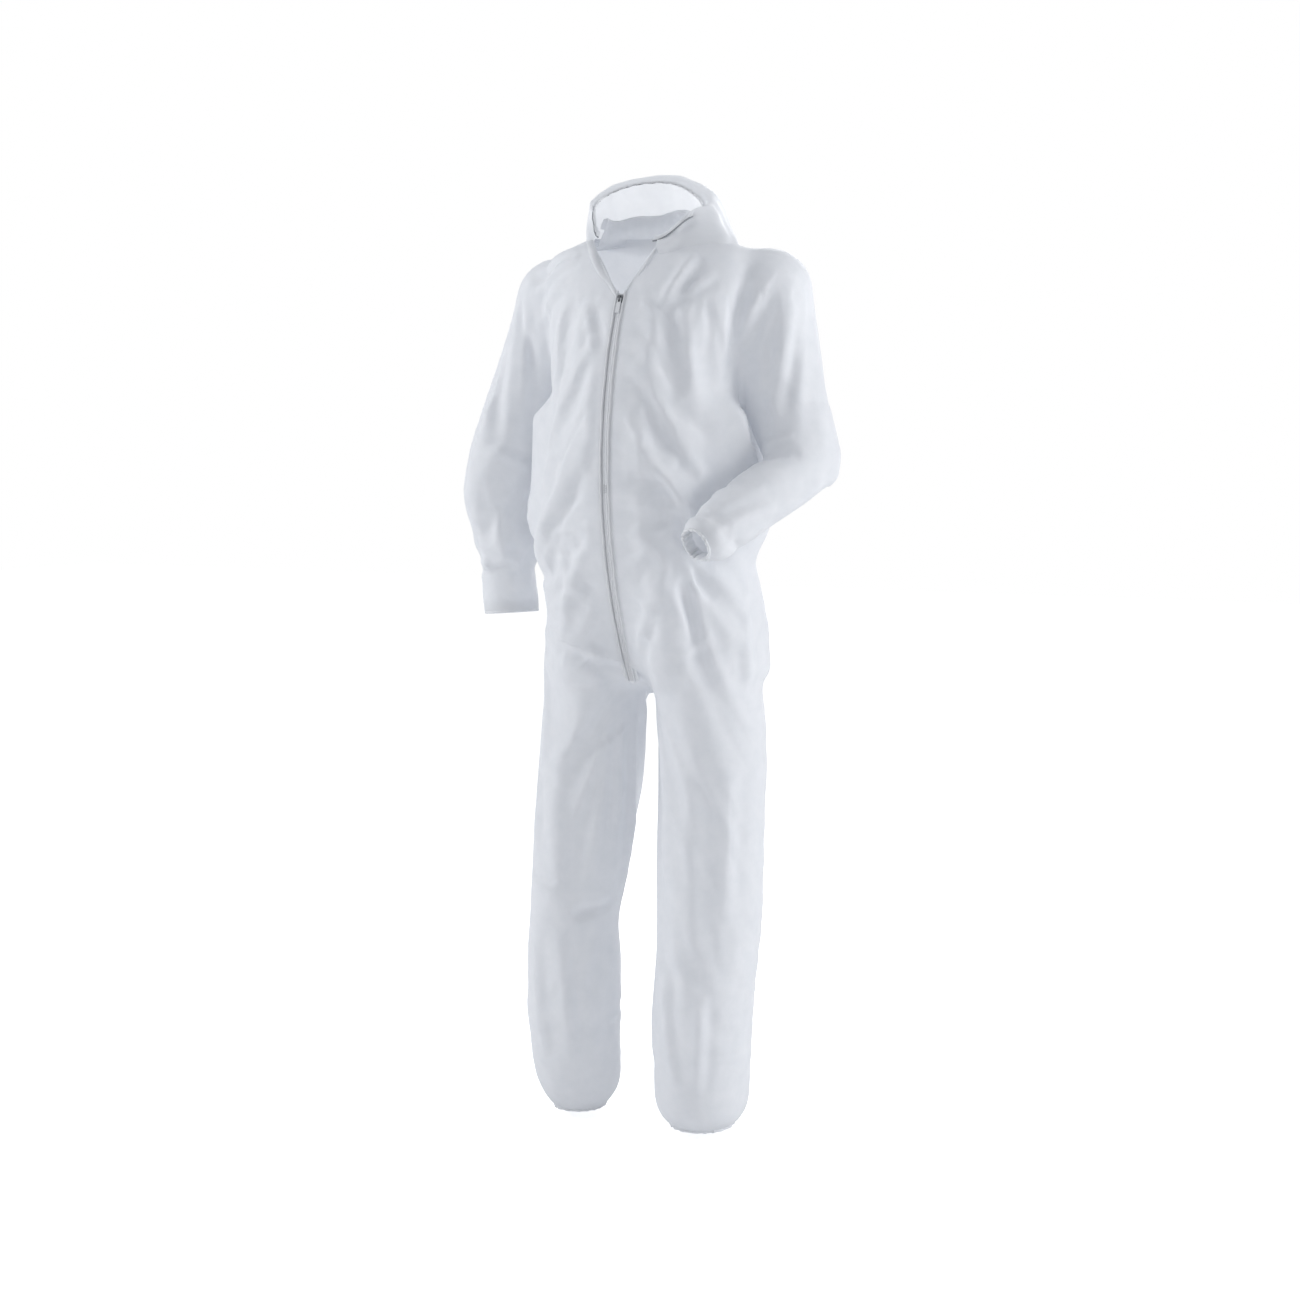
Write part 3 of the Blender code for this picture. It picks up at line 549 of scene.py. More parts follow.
# Each fold, in millimetres: the points it runs through, its height and its width; and then how deep
# the valley beside it is, as a share of its height. A negative height is a crease.
FOLDS = (
    # Neck and chest
    (((108, -55, -15), (90, -80, -55), (68, -97, -100)), 6.5, 11, 0.9),
    (((142, -52, -45), (110, -75, -70), (82, -92, -95)), 3.5, 8, 0.5),
    (((55, -105, -110), (75, -120, -190), (100, -110, -260)), 3, 15, 0.4),
    (((-60, -95, -90), (-45, -112, -130), (-30, -125, -170)), 3.5, 10, 0.7),
    (((-30, -128, -180), (-30, -142, -290), (-35, -145, -360)), 2.5, 10, 0.4),
    (((45, -118, -180), (62, -138, -330), (58, -135, -490)), 3.5, 17, 0.5),
    # Wearer's right shoulder: a fan from the neck
    (((-105, -40, 0), (-155, -25, -15), (-205, 0, -35)), 4.5, 10, 0.7),
    (((-95, -55, -12), (-150, -42, -35), (-195, -20, -65)), 4.5, 10, 0.7),
    (((-112, -70, -55), (-155, -52, -85), (-195, -18, -120)), 4.5, 10, 0.7),
    (((-150, -80, -160), (-165, -65, -220), (-160, -55, -280)), 3.5, 14, 0.5),
    # Armholes
    (((178, -12, -30), (174, -30, -85), (165, -32, -150), (160, -45, -215)), -7, 11, 0.0),
    (((-235, -5, -70), (-212, -15, -150), (-208, -15, -205)), -6, 9, 0.0),
    # Left sleeve
    (((218, 8, -45), (186, -20, -105), (166, -25, -155)), 6.5, 11, 0.7),
    (((245, 15, -85), (242, -5, -145), (230, -20, -210)), 4.5, 16, 0.5),
    (((205, -15, -170), (215, -20, -240), (245, -25, -285)), 4, 14, -0.5),
    (((275, -30, -320), (230, -42, -328), (180, -30, -345)), -8, 10, 0.0),
    (((262, -22, -296), (225, -25, -306), (190, -18, -322)), 4.5, 9, 0.6),
    (((245, -95, -372), (195, -110, -380), (145, -105, -393)), 4.5, 8, -0.7),
    (((258, -80, -398), (232, -130, -412), (200, -178, -435)), 4, 10, -0.6),
    # Right sleeve
    (((-325, -30, -362), (-275, -40, -356), (-220, -5, -354)), -6, 8, 0.0),
    (((-300, -40, -330), (-255, -42, -320), (-215, -10, -345)), 4, 10, 0.5),
    (((-290, -15, -180), (-290, -30, -240), (-275, -40, -300)), 3.5, 14, 0.5),
    (((-240, -35, -385), (-252, -48, -440), (-240, -45, -500)), 3.5, 12, 0.6),
    (((-305, -20, -400), (-290, -35, -460), (-285, -35, -520)), 3, 12, -0.6),
    # Belly and hips
    (((-145, -85, -592), (-85, -100, -615), (-35, -98, -640), (28, -72, -672)), 7.5, 11, -0.9),
    (((-50, -82, -668), (-10, -80, -668), (30, -75, -666)), -4, 6, 0.0),
    (((70, -130, -545), (50, -110, -595), (25, -85, -640)), 4.5, 12, 0.8),
    (((-105, -115, -480), (-70, -120, -520), (-40, -120, -560)), 3.5, 13, 0.5),
    (((125, -110, -500), (140, -100, -520), (158, -85, -545)), -5, 8, 0.0),
    (((98, -125, -520), (110, -115, -560), (128, -100, -610)), 4.5, 11, 0.7),
    (((190, -30, -480), (195, -35, -560), (192, -35, -640), (190, -20, -710)), 3.5, 12, 0.6),
    (((150, -80, -600), (115, -100, -625), (80, -112, -640)), 3, 10, 0.6),
    # Legs
    (((-62, -85, -805), (-30, -55, -770), (-5, -15, -740)), 3.5, 6, 0.6),
    (((-115, -88, -770), (-118, -100, -900), (-105, -103, -1070)), 4.5, 18, 0.5),
    (((-50, -70, -850), (-52, -75, -940), (-60, -80, -1020)), 4, 14, 0.6),
    (((-160, -65, -760), (-168, -75, -860), (-165, -85, -960)), 3.5, 14, 0.5),
    (((-45, -45, -1045), (-65, -80, -1048), (-90, -98, -1058)), -7, 9, 0.0),
    (((-168, -80, -1008), (-140, -100, -1012), (-108, -105, -1018)), 4, 9, 0.7),
    (((-110, -105, -1080), (-95, -110, -1180), (-85, -105, -1300)), 4.5, 12, 0.6),
    (((-150, -95, -1090), (-145, -105, -1180), (-130, -105, -1290)), 4, 12, 0.6),
    (((112, -85, -780), (120, -100, -930), (140, -115, -1110)), 4.5, 18, 0.5),
    (((176, -58, -800), (182, -78, -930), (178, -90, -1060)), 4, 15, 0.6),
    (((60, -75, -880), (62, -90, -990), (75, -100, -1090)), 3.5, 14, 0.5),
    (((85, -105, -1120), (90, -112, -1210), (105, -112, -1310)), 4, 11, 0.6),
    (((150, -110, -1150), (146, -112, -1230), (140, -110, -1320)), 4, 11, 0.6),
    # Back
    (((120, 95, -120), (80, 105, -220), (30, 95, -330)), 4.5, 16, 0.5),
    (((-120, 95, -110), (-75, 105, -210), (-30, 95, -320)), 4.5, 16, -0.5),
    (((90, 85, -420), (70, 105, -520), (30, 115, -610)), 4, 14, 0.6),
    (((-95, 85, -410), (-80, 105, -500), (-40, 115, -600)), 4, 14, -0.6),
    (((10, 85, -410), (0, 100, -470), (-10, 110, -540)), 3.5, 12, 0.6),
    (((110, 90, -760), (120, 85, -900), (130, 70, -1050)), 4.5, 16, 0.6),
    (((-110, 90, -760), (-120, 80, -900), (-130, 55, -1050)), 4.5, 16, -0.6),
)


def folded(co, mesh):
    for line, height, width, valley in FOLDS:
        set_coordinates(mesh, co)
        raise_fold(
            co, vertex_normals(mesh), metres(line), FOLD_DEPTH * metres(height), metres(width), valley
        )
    return co


# ---------------------------------------------------------------- cutting the skin into panels

ARMHOLE_X = 0.156
LEG_CUT_Z = -0.722
THIGH_CUT_Z = -0.930
ANKLE_Z = -1.382
SLOT_BOTTOM_Z = -0.677
SLEEVE_BOTTOM_Z = -0.68
LEFT_MIDDLE_GAP = 0.078
RIGHT_MIDDLE_GAP = 0.055

LEFT_UPPER = (ELBOW_LEFT - SHOULDER).normalized()
RIGHT_UPPER = (ELBOW_RIGHT - Vector((-SHOULDER.x, SHOULDER.y, SHOULDER.z))).normalized()
LEFT_LOWER = (WRIST_LEFT - ELBOW_LEFT).normalized()
RIGHT_LOWER = (WRIST_RIGHT - ELBOW_RIGHT).normalized()
LEFT_MIDDLE = ELBOW_LEFT - LEFT_MIDDLE_GAP * LEFT_UPPER
RIGHT_MIDDLE = ELBOW_RIGHT - RIGHT_MIDDLE_GAP * RIGHT_UPPER
ARMS = (
    ("left", ARM_LEFT, LEFT_UPPER, LEFT_MIDDLE, ELBOW_LEFT, WRIST_LEFT, LEFT_LOWER),
    ("right", ARM_RIGHT, RIGHT_UPPER, RIGHT_MIDDLE, ELBOW_RIGHT, WRIST_RIGHT, RIGHT_LOWER),
)


def neck_edge_z(co):
    """The height of the neck opening's edge over each point."""
    slope = np.where(co[:, 0] > 0, V_SLOPE_LEFT, V_SLOPE_RIGHT)
    rise = V_BOTTOM_Z + slope * np.maximum(np.abs(co[:, 0]) - 0.003, 0)
    rise = rise + 0.2 * smoothstep(-0.030, 0.0, co[:, 1])
    return np.minimum(rise, V_TOP_Z)


def cut(bm, field, where):
    """Splits the faces where the field crosses 0, among those whose middles pass where."""
    layer = bm.verts.layers.float_vector["place"]
    faces = [f for f in bm.faces if where(f.calc_center_median())]
    if not faces:
        return
    edges = {e for f in faces for e in f.edges}
    verts = {v for f in faces for v in f.verts}
    all_verts = list(bm.verts)
    co = np.array([v.co[:] for v in all_verts])
    values = field(co)
    for v, value in zip(all_verts, values):
        v[layer] = v.co
        v.co = (v.co.x, v.co.y, value)
    bmesh.ops.bisect_plane(
        bm, geom=[*faces, *edges, *verts], dist=1e-5, plane_co=(0, 0, 0), plane_no=(0, 0, 1)
    )
    for v in bm.verts:
        v.co = v[layer]


def plane_field(point, direction):
    point = np.array(point)
    direction = np.array(direction)
    return lambda co: (co - point) @ direction


def arm_gap(co, path):
    """How far each point is outside a limb's own tube."""
    rows = along(path)
    gaps = [np.linalg.norm(co - row[:3], axis=1) - row[3] for row in rows]
    return np.min(gaps, axis=0)


def faces_away(co, facing, path):
    """True where the cloth faces away from a limb's own middle line, so that it belongs to the limb."""
    rows = along(path)
    best = np.full(len(co), 1e9)
    away = np.zeros(len(co), bool)
    for row in rows:
        offset = co - row[:3]
        gap = np.linalg.norm(offset, axis=1) - row[3]
        away = np.where(gap < best, np.einsum("ij,ij->i", offset, facing) > 0, away)
        best = np.minimum(gap, best)
    return away


def panel_of(co, birth, facing):
    """The name of the piece that each point belongs to."""
    x, y, z = co.T
    names = np.full(len(co), "body", dtype=object)
    for hand, path, upper, middle, _, wrist, lower in ARMS:
        side = 1 if hand == "left" else -1
        high = (z > ARMPIT_Z) & (side * x > ARMHOLE_X)
        low = (z <= ARMPIT_Z) & (side * x > 0.10) & (arm_gap(birth, path) < 0.5 * ARM_GAP)
        low &= faces_away(birth, facing, path)
        low &= z > SLEEVE_BOTTOM_Z
        arm = high | low
        names[arm] = "sleeve_top_" + hand
        beyond = plane_field(middle, upper)(co) > 0
        names[arm & beyond] = "sleeve_bottom_" + hand
        past = plane_field(wrist, lower)(co) > 0
        near = np.linalg.norm(co - np.array(wrist), axis=1) < 0.10
        names[arm & past & near] = "off"
        leg = (z < LEG_CUT_Z) & (side * x > 0)
        names[leg] = "leg_top_" + hand
        names[leg & (z < THIGH_CUT_Z)] = "leg_bottom_" + hand
        names[leg & (z < ANKLE_Z)] = "off"
    body = names == "body"
    names[body & (z > neck_edge_z(co))] = "off"
    slot = (np.abs(x) < SLOT_HALF_WIDTH) & (y < -0.03) & (z > SLOT_BOTTOM_Z)
    names[body & slot] = "off"
    return names


def cut_everywhere(mesh):
    bm = bmesh.new()
    bm.from_mesh(mesh)
    bm.verts.layers.float_vector.new("place")
    cut(bm, lambda co: np.abs(co[:, 0]) - ARMHOLE_X, lambda c: c.z > ARMPIT_Z and abs(c.x) > 0.13)
    cut(bm, plane_field(LEFT_MIDDLE, LEFT_UPPER), lambda c: c.x > 0.16 and c.z < -0.15)
    cut(bm, plane_field(RIGHT_MIDDLE, RIGHT_UPPER), lambda c: c.x < -0.16 and -0.38 < c.z < -0.15)
    cut(bm, plane_field(WRIST_LEFT, LEFT_LOWER), lambda c: (c - WRIST_LEFT).length < 0.08)
    cut(bm, plane_field(WRIST_RIGHT, RIGHT_LOWER), lambda c: (c - WRIST_RIGHT).length < 0.08)
    for level in (LEG_CUT_Z, THIGH_CUT_Z, ANKLE_Z):
        cut(bm, plane_field((0, 0, level), (0, 0, 1)), lambda c, level=level: abs(c.z - level) < 0.03)
    cut(bm, lambda co: co[:, 2] - neck_edge_z(co), lambda c: c.z > -0.11 and abs(c.x) < 0.13)
    cut(bm, lambda co: np.abs(co[:, 0]) - SLOT_HALF_WIDTH, lambda c: abs(c.x) < 0.02 and c.y < -0.03)
    cut(bm, plane_field((0, 0, SLOT_BOTTOM_Z), (0, 0, 1)), lambda c: abs(c.x) < 0.01 and c.y < -0.03)
    bm.verts.layers.float_vector.remove(bm.verts.layers.float_vector["place"])
    bm.to_mesh(mesh)
    bm.free()


def add_smooth(name, points, faces):
    """A new object of smooth-shaded faces."""
    mesh = bpy.data.meshes.new(name)
    mesh.from_pydata([tuple(p) for p in points], [], faces)
    mesh.shade_smooth()
    return add_object(name, mesh)


def split_panels(mesh):
    """Cuts the skin along its seams, and returns its panels by name, shaded as one surface."""
    cut_everywhere(mesh)
    normals = vertex_normals(mesh)
    co = coordinates(mesh)

    def face_means(values):
        return np.array([values[list(face.vertices)].mean(axis=0) for face in mesh.polygons])

    names = panel_of(face_means(co), face_means(birth_points(mesh)), face_means(normals))
    panels = {}
    for name in sorted(set(names) - {"off"}):
        chosen = np.where(names == name)[0]
        used = {}
        faces = []
        for index in chosen:
            face = []
            for v in mesh.polygons[index].vertices:
                face.append(used.setdefault(v, len(used)))
            faces.append(face)
        order = np.array(list(used))
        panels[name] = add_smooth(name, co[order], faces)
        panels[name].data.normals_split_custom_set_from_vertices([tuple(n) for n in normals[order]])
    return panels


# ---------------------------------------------------------------- grids, hems and tubes

HEM_LENGTH = 0.015


def add_grid(name, rows, closed=False):
    """A smooth surface through rows of points; closed joins each row's ends."""
    points = [p for row in rows for p in row]
    return add_smooth(name, points, ring_faces(len(rows), len(rows[0]), closed))


def add_surface(name, rows, columns, place):
    """A smooth surface of rows + 1 by columns + 1 points, each put where place(row, column) says."""
    return add_grid(name, [[place(i, j) for j in range(columns + 1)] for i in range(rows + 1)])


def solid(obj, thickness):
    """Gives a grid its cloth thickness."""
    modifier = obj.modifiers.new("Solidify", "SOLIDIFY")
    modifier.thickness = thickness
    modifier.offset = 0.0
    mesh = applied(obj, obj.name)
    obj.modifiers.clear()
    obj.data = mesh
    mesh.shade_smooth()
    return obj


def edge_loop(mesh, near, reach):
    """The points of an open edge near a place, in order round it."""
    uses = {}
    for polygon in mesh.polygons:
        for key in polygon.edge_keys:
            uses[key] = uses.get(key, 0) + 1
    links = {}
    for (a, b), count in uses.items():
        if count != 1:
            continue
        if max((mesh.vertices[v].co - near).length for v in (a, b)) > reach:
            continue
        links.setdefault(a, []).append(b)
        links.setdefault(b, []).append(a)
    start = min(links)
    loop = [start]
    last = None
    here = start
    while True:
        following = [v for v in links[here] if v != last]
        if not following or following[0] == start:
            break
        last = here
        here = following[0]
        loop.append(here)
    return [mesh.vertices[v].co.copy() for v in loop]


def add_hem(name, sleeve, centre, towards, reach, pleats, depth):
    """A gathered hem: the sleeve's own edge, rolled over an elastic and turned back inside."""
    loop = edge_loop(sleeve.data, centre, reach)
    middle = sum(loop, Vector()) / len(loop)
    profile = (
        (0.0000, 0.0000), (0.0005, 0.0012), (0.0004, 0.0028), (-0.0008, 0.0040), (-0.0024, 0.0040),
        (-0.0036, 0.0022), (-0.0042, -0.3 * HEM_LENGTH), (-0.0030, -0.7 * HEM_LENGTH),
        (-0.0038, -HEM_LENGTH),
    )
    rows = []
    for k, (out, ahead) in enumerate(profile):
        ripple = depth * min(k, 3) / 3
        row = []
        for index, point in enumerate(loop):
            radial = point - middle
            radial = (radial - radial.dot(towards) * towards).normalized()
            turn = 2 * math.pi * index / len(loop)
            wave = math.sin(pleats * turn) + 0.5 * math.sin((pleats + 5) * turn + 1.3)
            row.append(point + (out + ripple * wave) * radial + ahead * towards)
        rows.append(row)
    return add_grid(name, rows, closed=True)


def add_tube(name, points, radius):
    """A round cord through the points."""
    curve_data = bpy.data.curves.new(name, "CURVE")
    curve_data.dimensions = "3D"
    curve_data.bevel_depth = radius
    curve_data.bevel_resolution = 2
    curve_data.use_fill_caps = True
    spline = curve_data.splines.new("POLY")
    spline.points.add(len(points) - 1)
    for index, point in enumerate(points):
        spline.points[index].co = (*point, 1)
    obj = add_object(name, curve_data)
    mesh = applied(obj, name)
    bpy.data.objects.remove(obj)
    mesh.shade_smooth()
    return add_object(name, mesh)


# ---------------------------------------------------------------- the hood and the neck

# From the shoulder seam up over the crest to the rim: (x radius, y centre, y radius, front z, back rise)
HOOD_RINGS = (
    (0.114, 0.000, 0.068, -0.0160, 0.026),
    (0.112, 0.003, 0.073, -0.0020, 0.021),
    (0.112, 0.010, 0.081, 0.0110, 0.018),
    (0.114, 0.019, 0.088, 0.0290, 0.024),
    (0.114, 0.027, 0.088, 0.0480, 0.042),
    (0.110, 0.0210, 0.0780, 0.0590, 0.062),
    (0.103, 0.0100, 0.0685, 0.0560, 0.065),
    (0.097, 0.0000, 0.0625, 0.0450, 0.066),
)
# How far the wearer's left side leans out over the shoulder, from the seam up to the rim
HOOD_LEAN = (
    (0.0, 0.046), (0.14, 0.040), (0.29, 0.030), (0.43, 0.010),
    (0.57, -0.006), (0.75, -0.014), (1.0, -0.008),
)
# How much lower the crest is on the wearer's left
HOOD_DROOP = 0.30
# The hood's two ends, and how far it falls towards them, as a share of its height
HOOD_LEFT_END = math.radians(158)
HOOD_RIGHT_END = math.radians(134)
HOOD_FALL_START = math.radians(106)
HOOD_LEFT_FALL = 0.62
HOOD_RIGHT_FALL = 0.45
# The crest is highest a twist away from the back, and ends at the rise's end
HOOD_RISE_END = math.radians(124)
HOOD_TWIST = math.radians(14)
HOOD_COLUMNS = 120
HOOD_ROWS = 40
HOOD_MIDDLE = Vector((0, 0.015, 0.020))
RIM_MIDDLE = Vector((0, 0.01, 0.075))
RIM_RADIUS = 0.0012
RIM_HEM_ROWS = 4
RIM_ROLL = 0.0018
RIM_INSET = 0.0012
RIM_TUCK = 0.0020
NAPE_END = math.radians(118)
NAPE_COLUMNS = 96
NAPE_HALF_WIDTH = 0.088
NAPE_DEPTH = 0.070
NAPE_Y = 0.010


def hood_point(turn, share):
    """A point of the hood: turn 0 at the back, positive to the wearer's left; share 1 is its rim."""
    drop = math.cos(HOOD_RISE_END)
    rise_share = max((math.cos(turn + HOOD_TWIST) - drop) / (1 - drop), 0.0) ** 1.2
    x_radius, y_centre, y_radius, z, rise = (
        curve([(i / (len(HOOD_RINGS) - 1), ring[k]) for i, ring in enumerate(HOOD_RINGS)], share)
        for k in range(5)
    )
    lean = curve(HOOD_LEAN, share) * max(math.sin(turn), 0.0) ** 2
    x = x_radius * math.sin(turn) + lean
    y = y_centre + y_radius * math.cos(turn)
    droop = 1 - HOOD_DROOP * max(math.sin(turn), 0.0) ** 1.5
    lower = HOOD_LEFT_FALL * smoothstep(HOOD_FALL_START, HOOD_LEFT_END, turn)
    lower += HOOD_RIGHT_FALL * smoothstep(HOOD_FALL_START, HOOD_RIGHT_END, -turn)
    seam = HOOD_RINGS[0][3]
    return Vector((x, y, seam + (z + rise * rise_share * droop - seam) * (1 - float(lower))))


def hood_fold(turn, share):
    """How far the hood's cloth stands out in soft folds."""
    swell = math.sin(math.pi * min(share / 0.9, 1.0)) ** 1.5
    slant = turn * 7.0 + share * 3.0
    fold = 0.0030 * math.sin(slant) + 0.0016 * math.sin(2.3 * slant + 1.0)
    gather = 0.0007 * math.sin(turn * 46) * smoothstep(0.80, 1.0, share)
    return fold * swell + gather


def add_hood():
    rows = []
    for i in range(HOOD_ROWS + 1):
        share = i / HOOD_ROWS
        row = []
        for j in range(HOOD_COLUMNS + 1):
            turn = (HOOD_LEFT_END + HOOD_RIGHT_END) * j / HOOD_COLUMNS - HOOD_RIGHT_END
            point = hood_point(turn, share)
            outward = (point - HOOD_MIDDLE).normalized()
            row.append(point + float(hood_fold(turn, share)) * outward)
        rows.append(row)
    rim = rows[-1]
    before = rows[-3]
    hem = []
    for step in range(1, RIM_HEM_ROWS + 1):
        back = []
        for point, earlier in zip(rim, before):
            inward = (RIM_MIDDLE - point).normalized()
            ahead = (point - earlier).normalized()
            tuck = RIM_TUCK * step if step > 2 else 0.0
            roll = RIM_ROLL * math.sin(step * 0.7) * ahead * 1.5
            back.append(point + roll + RIM_INSET * step * inward - tuck * ahead)
        hem.append(back)
    hood = add_grid("hood_cloth", rows + hem)
    # The rim cord's dark grey, given by its material, is painted shadow: it stands in for the shade line
    # between the hood's rolled edge and its inside.
    elastic = add_tube("hood_rim_elastic_painted_shadow", [p + 0.0016 * Vector((0, 0, -1)) for p in rim[::2]], RIM_RADIUS)
    return hood, elastic


def add_nape_fold():
    """The band of cloth that stands inside the neck, folded over on itself."""
    profile = (
        (-0.022, 0.010), (-0.010, 0.014), (0.000, 0.020), (0.006, 0.034), (0.010, 0.046), (0.013, 0.0560),
        (0.0115, 0.0600), (0.006, 0.0585), (0.003, 0.0520), (0.002, 0.0430),
    )

    def place(i, j):
        inset, z = profile[i]
        turn = NAPE_END * (2 * j / NAPE_COLUMNS - 1)
        sag = 0.0035 * math.sin(2.2 * turn + 0.6) + 0.002 * math.sin(6.1 * turn)
        ripple = 0.0016 * math.sin(9 * turn + 60 * z) + 0.0010 * math.sin(21 * turn)
        x = (NAPE_HALF_WIDTH - inset + ripple) * math.sin(turn)
        y = NAPE_Y + (NAPE_DEPTH - inset + ripple) * math.cos(turn)
        lift = z + sag * (z > 0.02) - 0.010 * (1 - math.cos(turn)) * (z > 0.0)
        return Vector((x, y, lift))

    return add_surface("nape_fold", len(profile) - 1, NAPE_COLUMNS, place)


# ---------------------------------------------------------------- the neck's turned edges

LAPEL_ROWS = 28
LAPEL_COLUMNS = 12


def neck_edge_path(side, body_tree):
    """The V's edge from the zip's top up to the side of the neck, on the body's own cloth."""
    slope = V_SLOPE_LEFT if side > 0 else V_SLOPE_RIGHT
    reach = (V_TOP_Z - V_BOTTOM_Z) / slope - 0.004
    path = []
    for k in range(LAPEL_ROWS + 1):
        x = 0.0035 + reach * k / LAPEL_ROWS
        z = min(V_BOTTOM_Z + slope * (x - 0.003), V_TOP_Z)
        hit = body_tree.ray_cast(Vector((side * x, -0.4, z - 0.0015)), Vector((0, 1, 0)))[0]
        if hit is None:
            continue
        path.append(hit)
    return path


def add_lapel(name, side, body_tree, width, lift):
    """The neck's edge rolled outwards into a soft band, narrow at the zip and wider above."""
    path = neck_edge_path(side, body_tree)
    rows = []
    count = len(path)
    for index, point in enumerate(path):
        share = index / (count - 1)
        ahead = (path[min(index + 1, count - 1)] - path[max(index - 1, 0)]).normalized()
        out = Vector((side * 0.25, -1, 0.15)).normalized()
        across = ahead.cross(out) * side
        if across.x * side < 0:
            across = -across
        across.normalize()
        out = ahead.cross(across).normalized()
        if out.y > 0:
            out = -out
        wide = width * (0.25 + 0.75 * math.sin(math.pi * min(share * 0.62 + 0.05, 1)))
        high = lift * (0.4 + 0.6 * share)
        row = []
        for step in range(LAPEL_COLUMNS + 1):
            t = step / LAPEL_COLUMNS
            turn = math.pi * (1.25 * t - 0.25)
            row.append(
                point
                + across * wide * (0.5 - 0.5 * math.cos(math.pi * t) - 0.12)
                + out * (high * math.sin(max(turn, -0.4)) + 0.0012 * math.sin(9 * share + 4 * t))
            )
        rows.append(row)
    return add_grid(name, rows)


# ---------------------------------------------------------------- the zip

TOOTH_PITCH = 0.0016
TOOTH_COLUMNS = 6
# Across a tooth: (distance from the middle, radius)
TOOTH_PROFILE = ((0.0001, 0.00050), (0.0020, 0.00066), (0.0046, 0.00056))
WELT_ROWS = 140
WELT_COLUMNS = 8


def zip_point(x, proud, angle):
    radius = ZIP_RADIUS + proud
    return Vector((x, ZIP_CENTRE_Y - radius * math.cos(angle), ZIP_CENTRE_Z + radius * math.sin(angle)))


def add_zip_teeth(name, side):
    """One side's coil: a row of small rounded loops that mesh with the other side's."""
    count = int((ZIP_TOP_ANGLE - ZIP_BOTTOM_ANGLE) * ZIP_RADIUS / TOOTH_PITCH)
    points = []
    faces = []
    for k in range(count):
        angle = ZIP_BOTTOM_ANGLE + (k + (0.5 if side > 0 else 0.0)) * TOOTH_PITCH / ZIP_RADIUS
        base = len(points)
        for x, size in TOOTH_PROFILE:
            for j in range(TOOTH_COLUMNS):
                turn = 2 * math.pi * j / TOOTH_COLUMNS
                points.append(zip_point(side * x, 0.0009 + 1.5 * size * math.sin(turn),
                                        angle + size * math.cos(turn) / ZIP_RADIUS))
        tooth = closed_faces(len(TOOTH_PROFILE), TOOTH_COLUMNS)
        faces += [tuple(base + v for v in face) for face in tooth]
    return add_smooth(name, points, faces)


def add_zip_welt(name, side):
    """The front's folded edge beside the zip."""

    def place(i, j):
        angle = ZIP_TOP_ANGLE + 0.004 + (ZIP_BOTTOM_ANGLE - ZIP_TOP_ANGLE - 0.004) * i / WELT_ROWS
        wave = 0.0003 * math.sin(i * 0.35) + 0.0002 * math.sin(i * 0.93)
        turn = math.pi * j / WELT_COLUMNS
        x = SLOT_HALF_WIDTH + 0.0016 - 0.0020 * math.cos(turn) + wave
        return zip_point(side * x, PANEL_FACE - 0.0008 + 0.0021 * math.sin(turn), angle)

    return add_surface(name, WELT_ROWS, WELT_COLUMNS, place)


# ---------------------------------------------------------------- the waist

WAIST_Z = -0.387
WAIST_WIDTH = 0.014
WAIST_INSET = 0.0080
WAIST_THICKNESS = 0.0010
WAIST_ROWS = 8
WAIST_COLUMNS = 160


def add_waist_gather():
    """The elastic sewn inside the back at the waist, puckering the tape that covers it."""

    def place(i, j):
        angle = math.radians(118 + 124 * j / WAIST_COLUMNS)
        ripple = 0.0012 * math.sin(j * 0.62) + 0.0006 * math.sin(j * 1.45 + i * 0.4)
        point = body_point(angle, WAIST_Z + WAIST_WIDTH * i / WAIST_ROWS)
        inward = Vector((-math.sin(angle), math.cos(angle), 0))
        return point + (WAIST_INSET + ripple) * inward

    return solid(add_surface("waist_gather", WAIST_ROWS, WAIST_COLUMNS, place), WAIST_THICKNESS)


# ---------------------------------------------------------------- materials


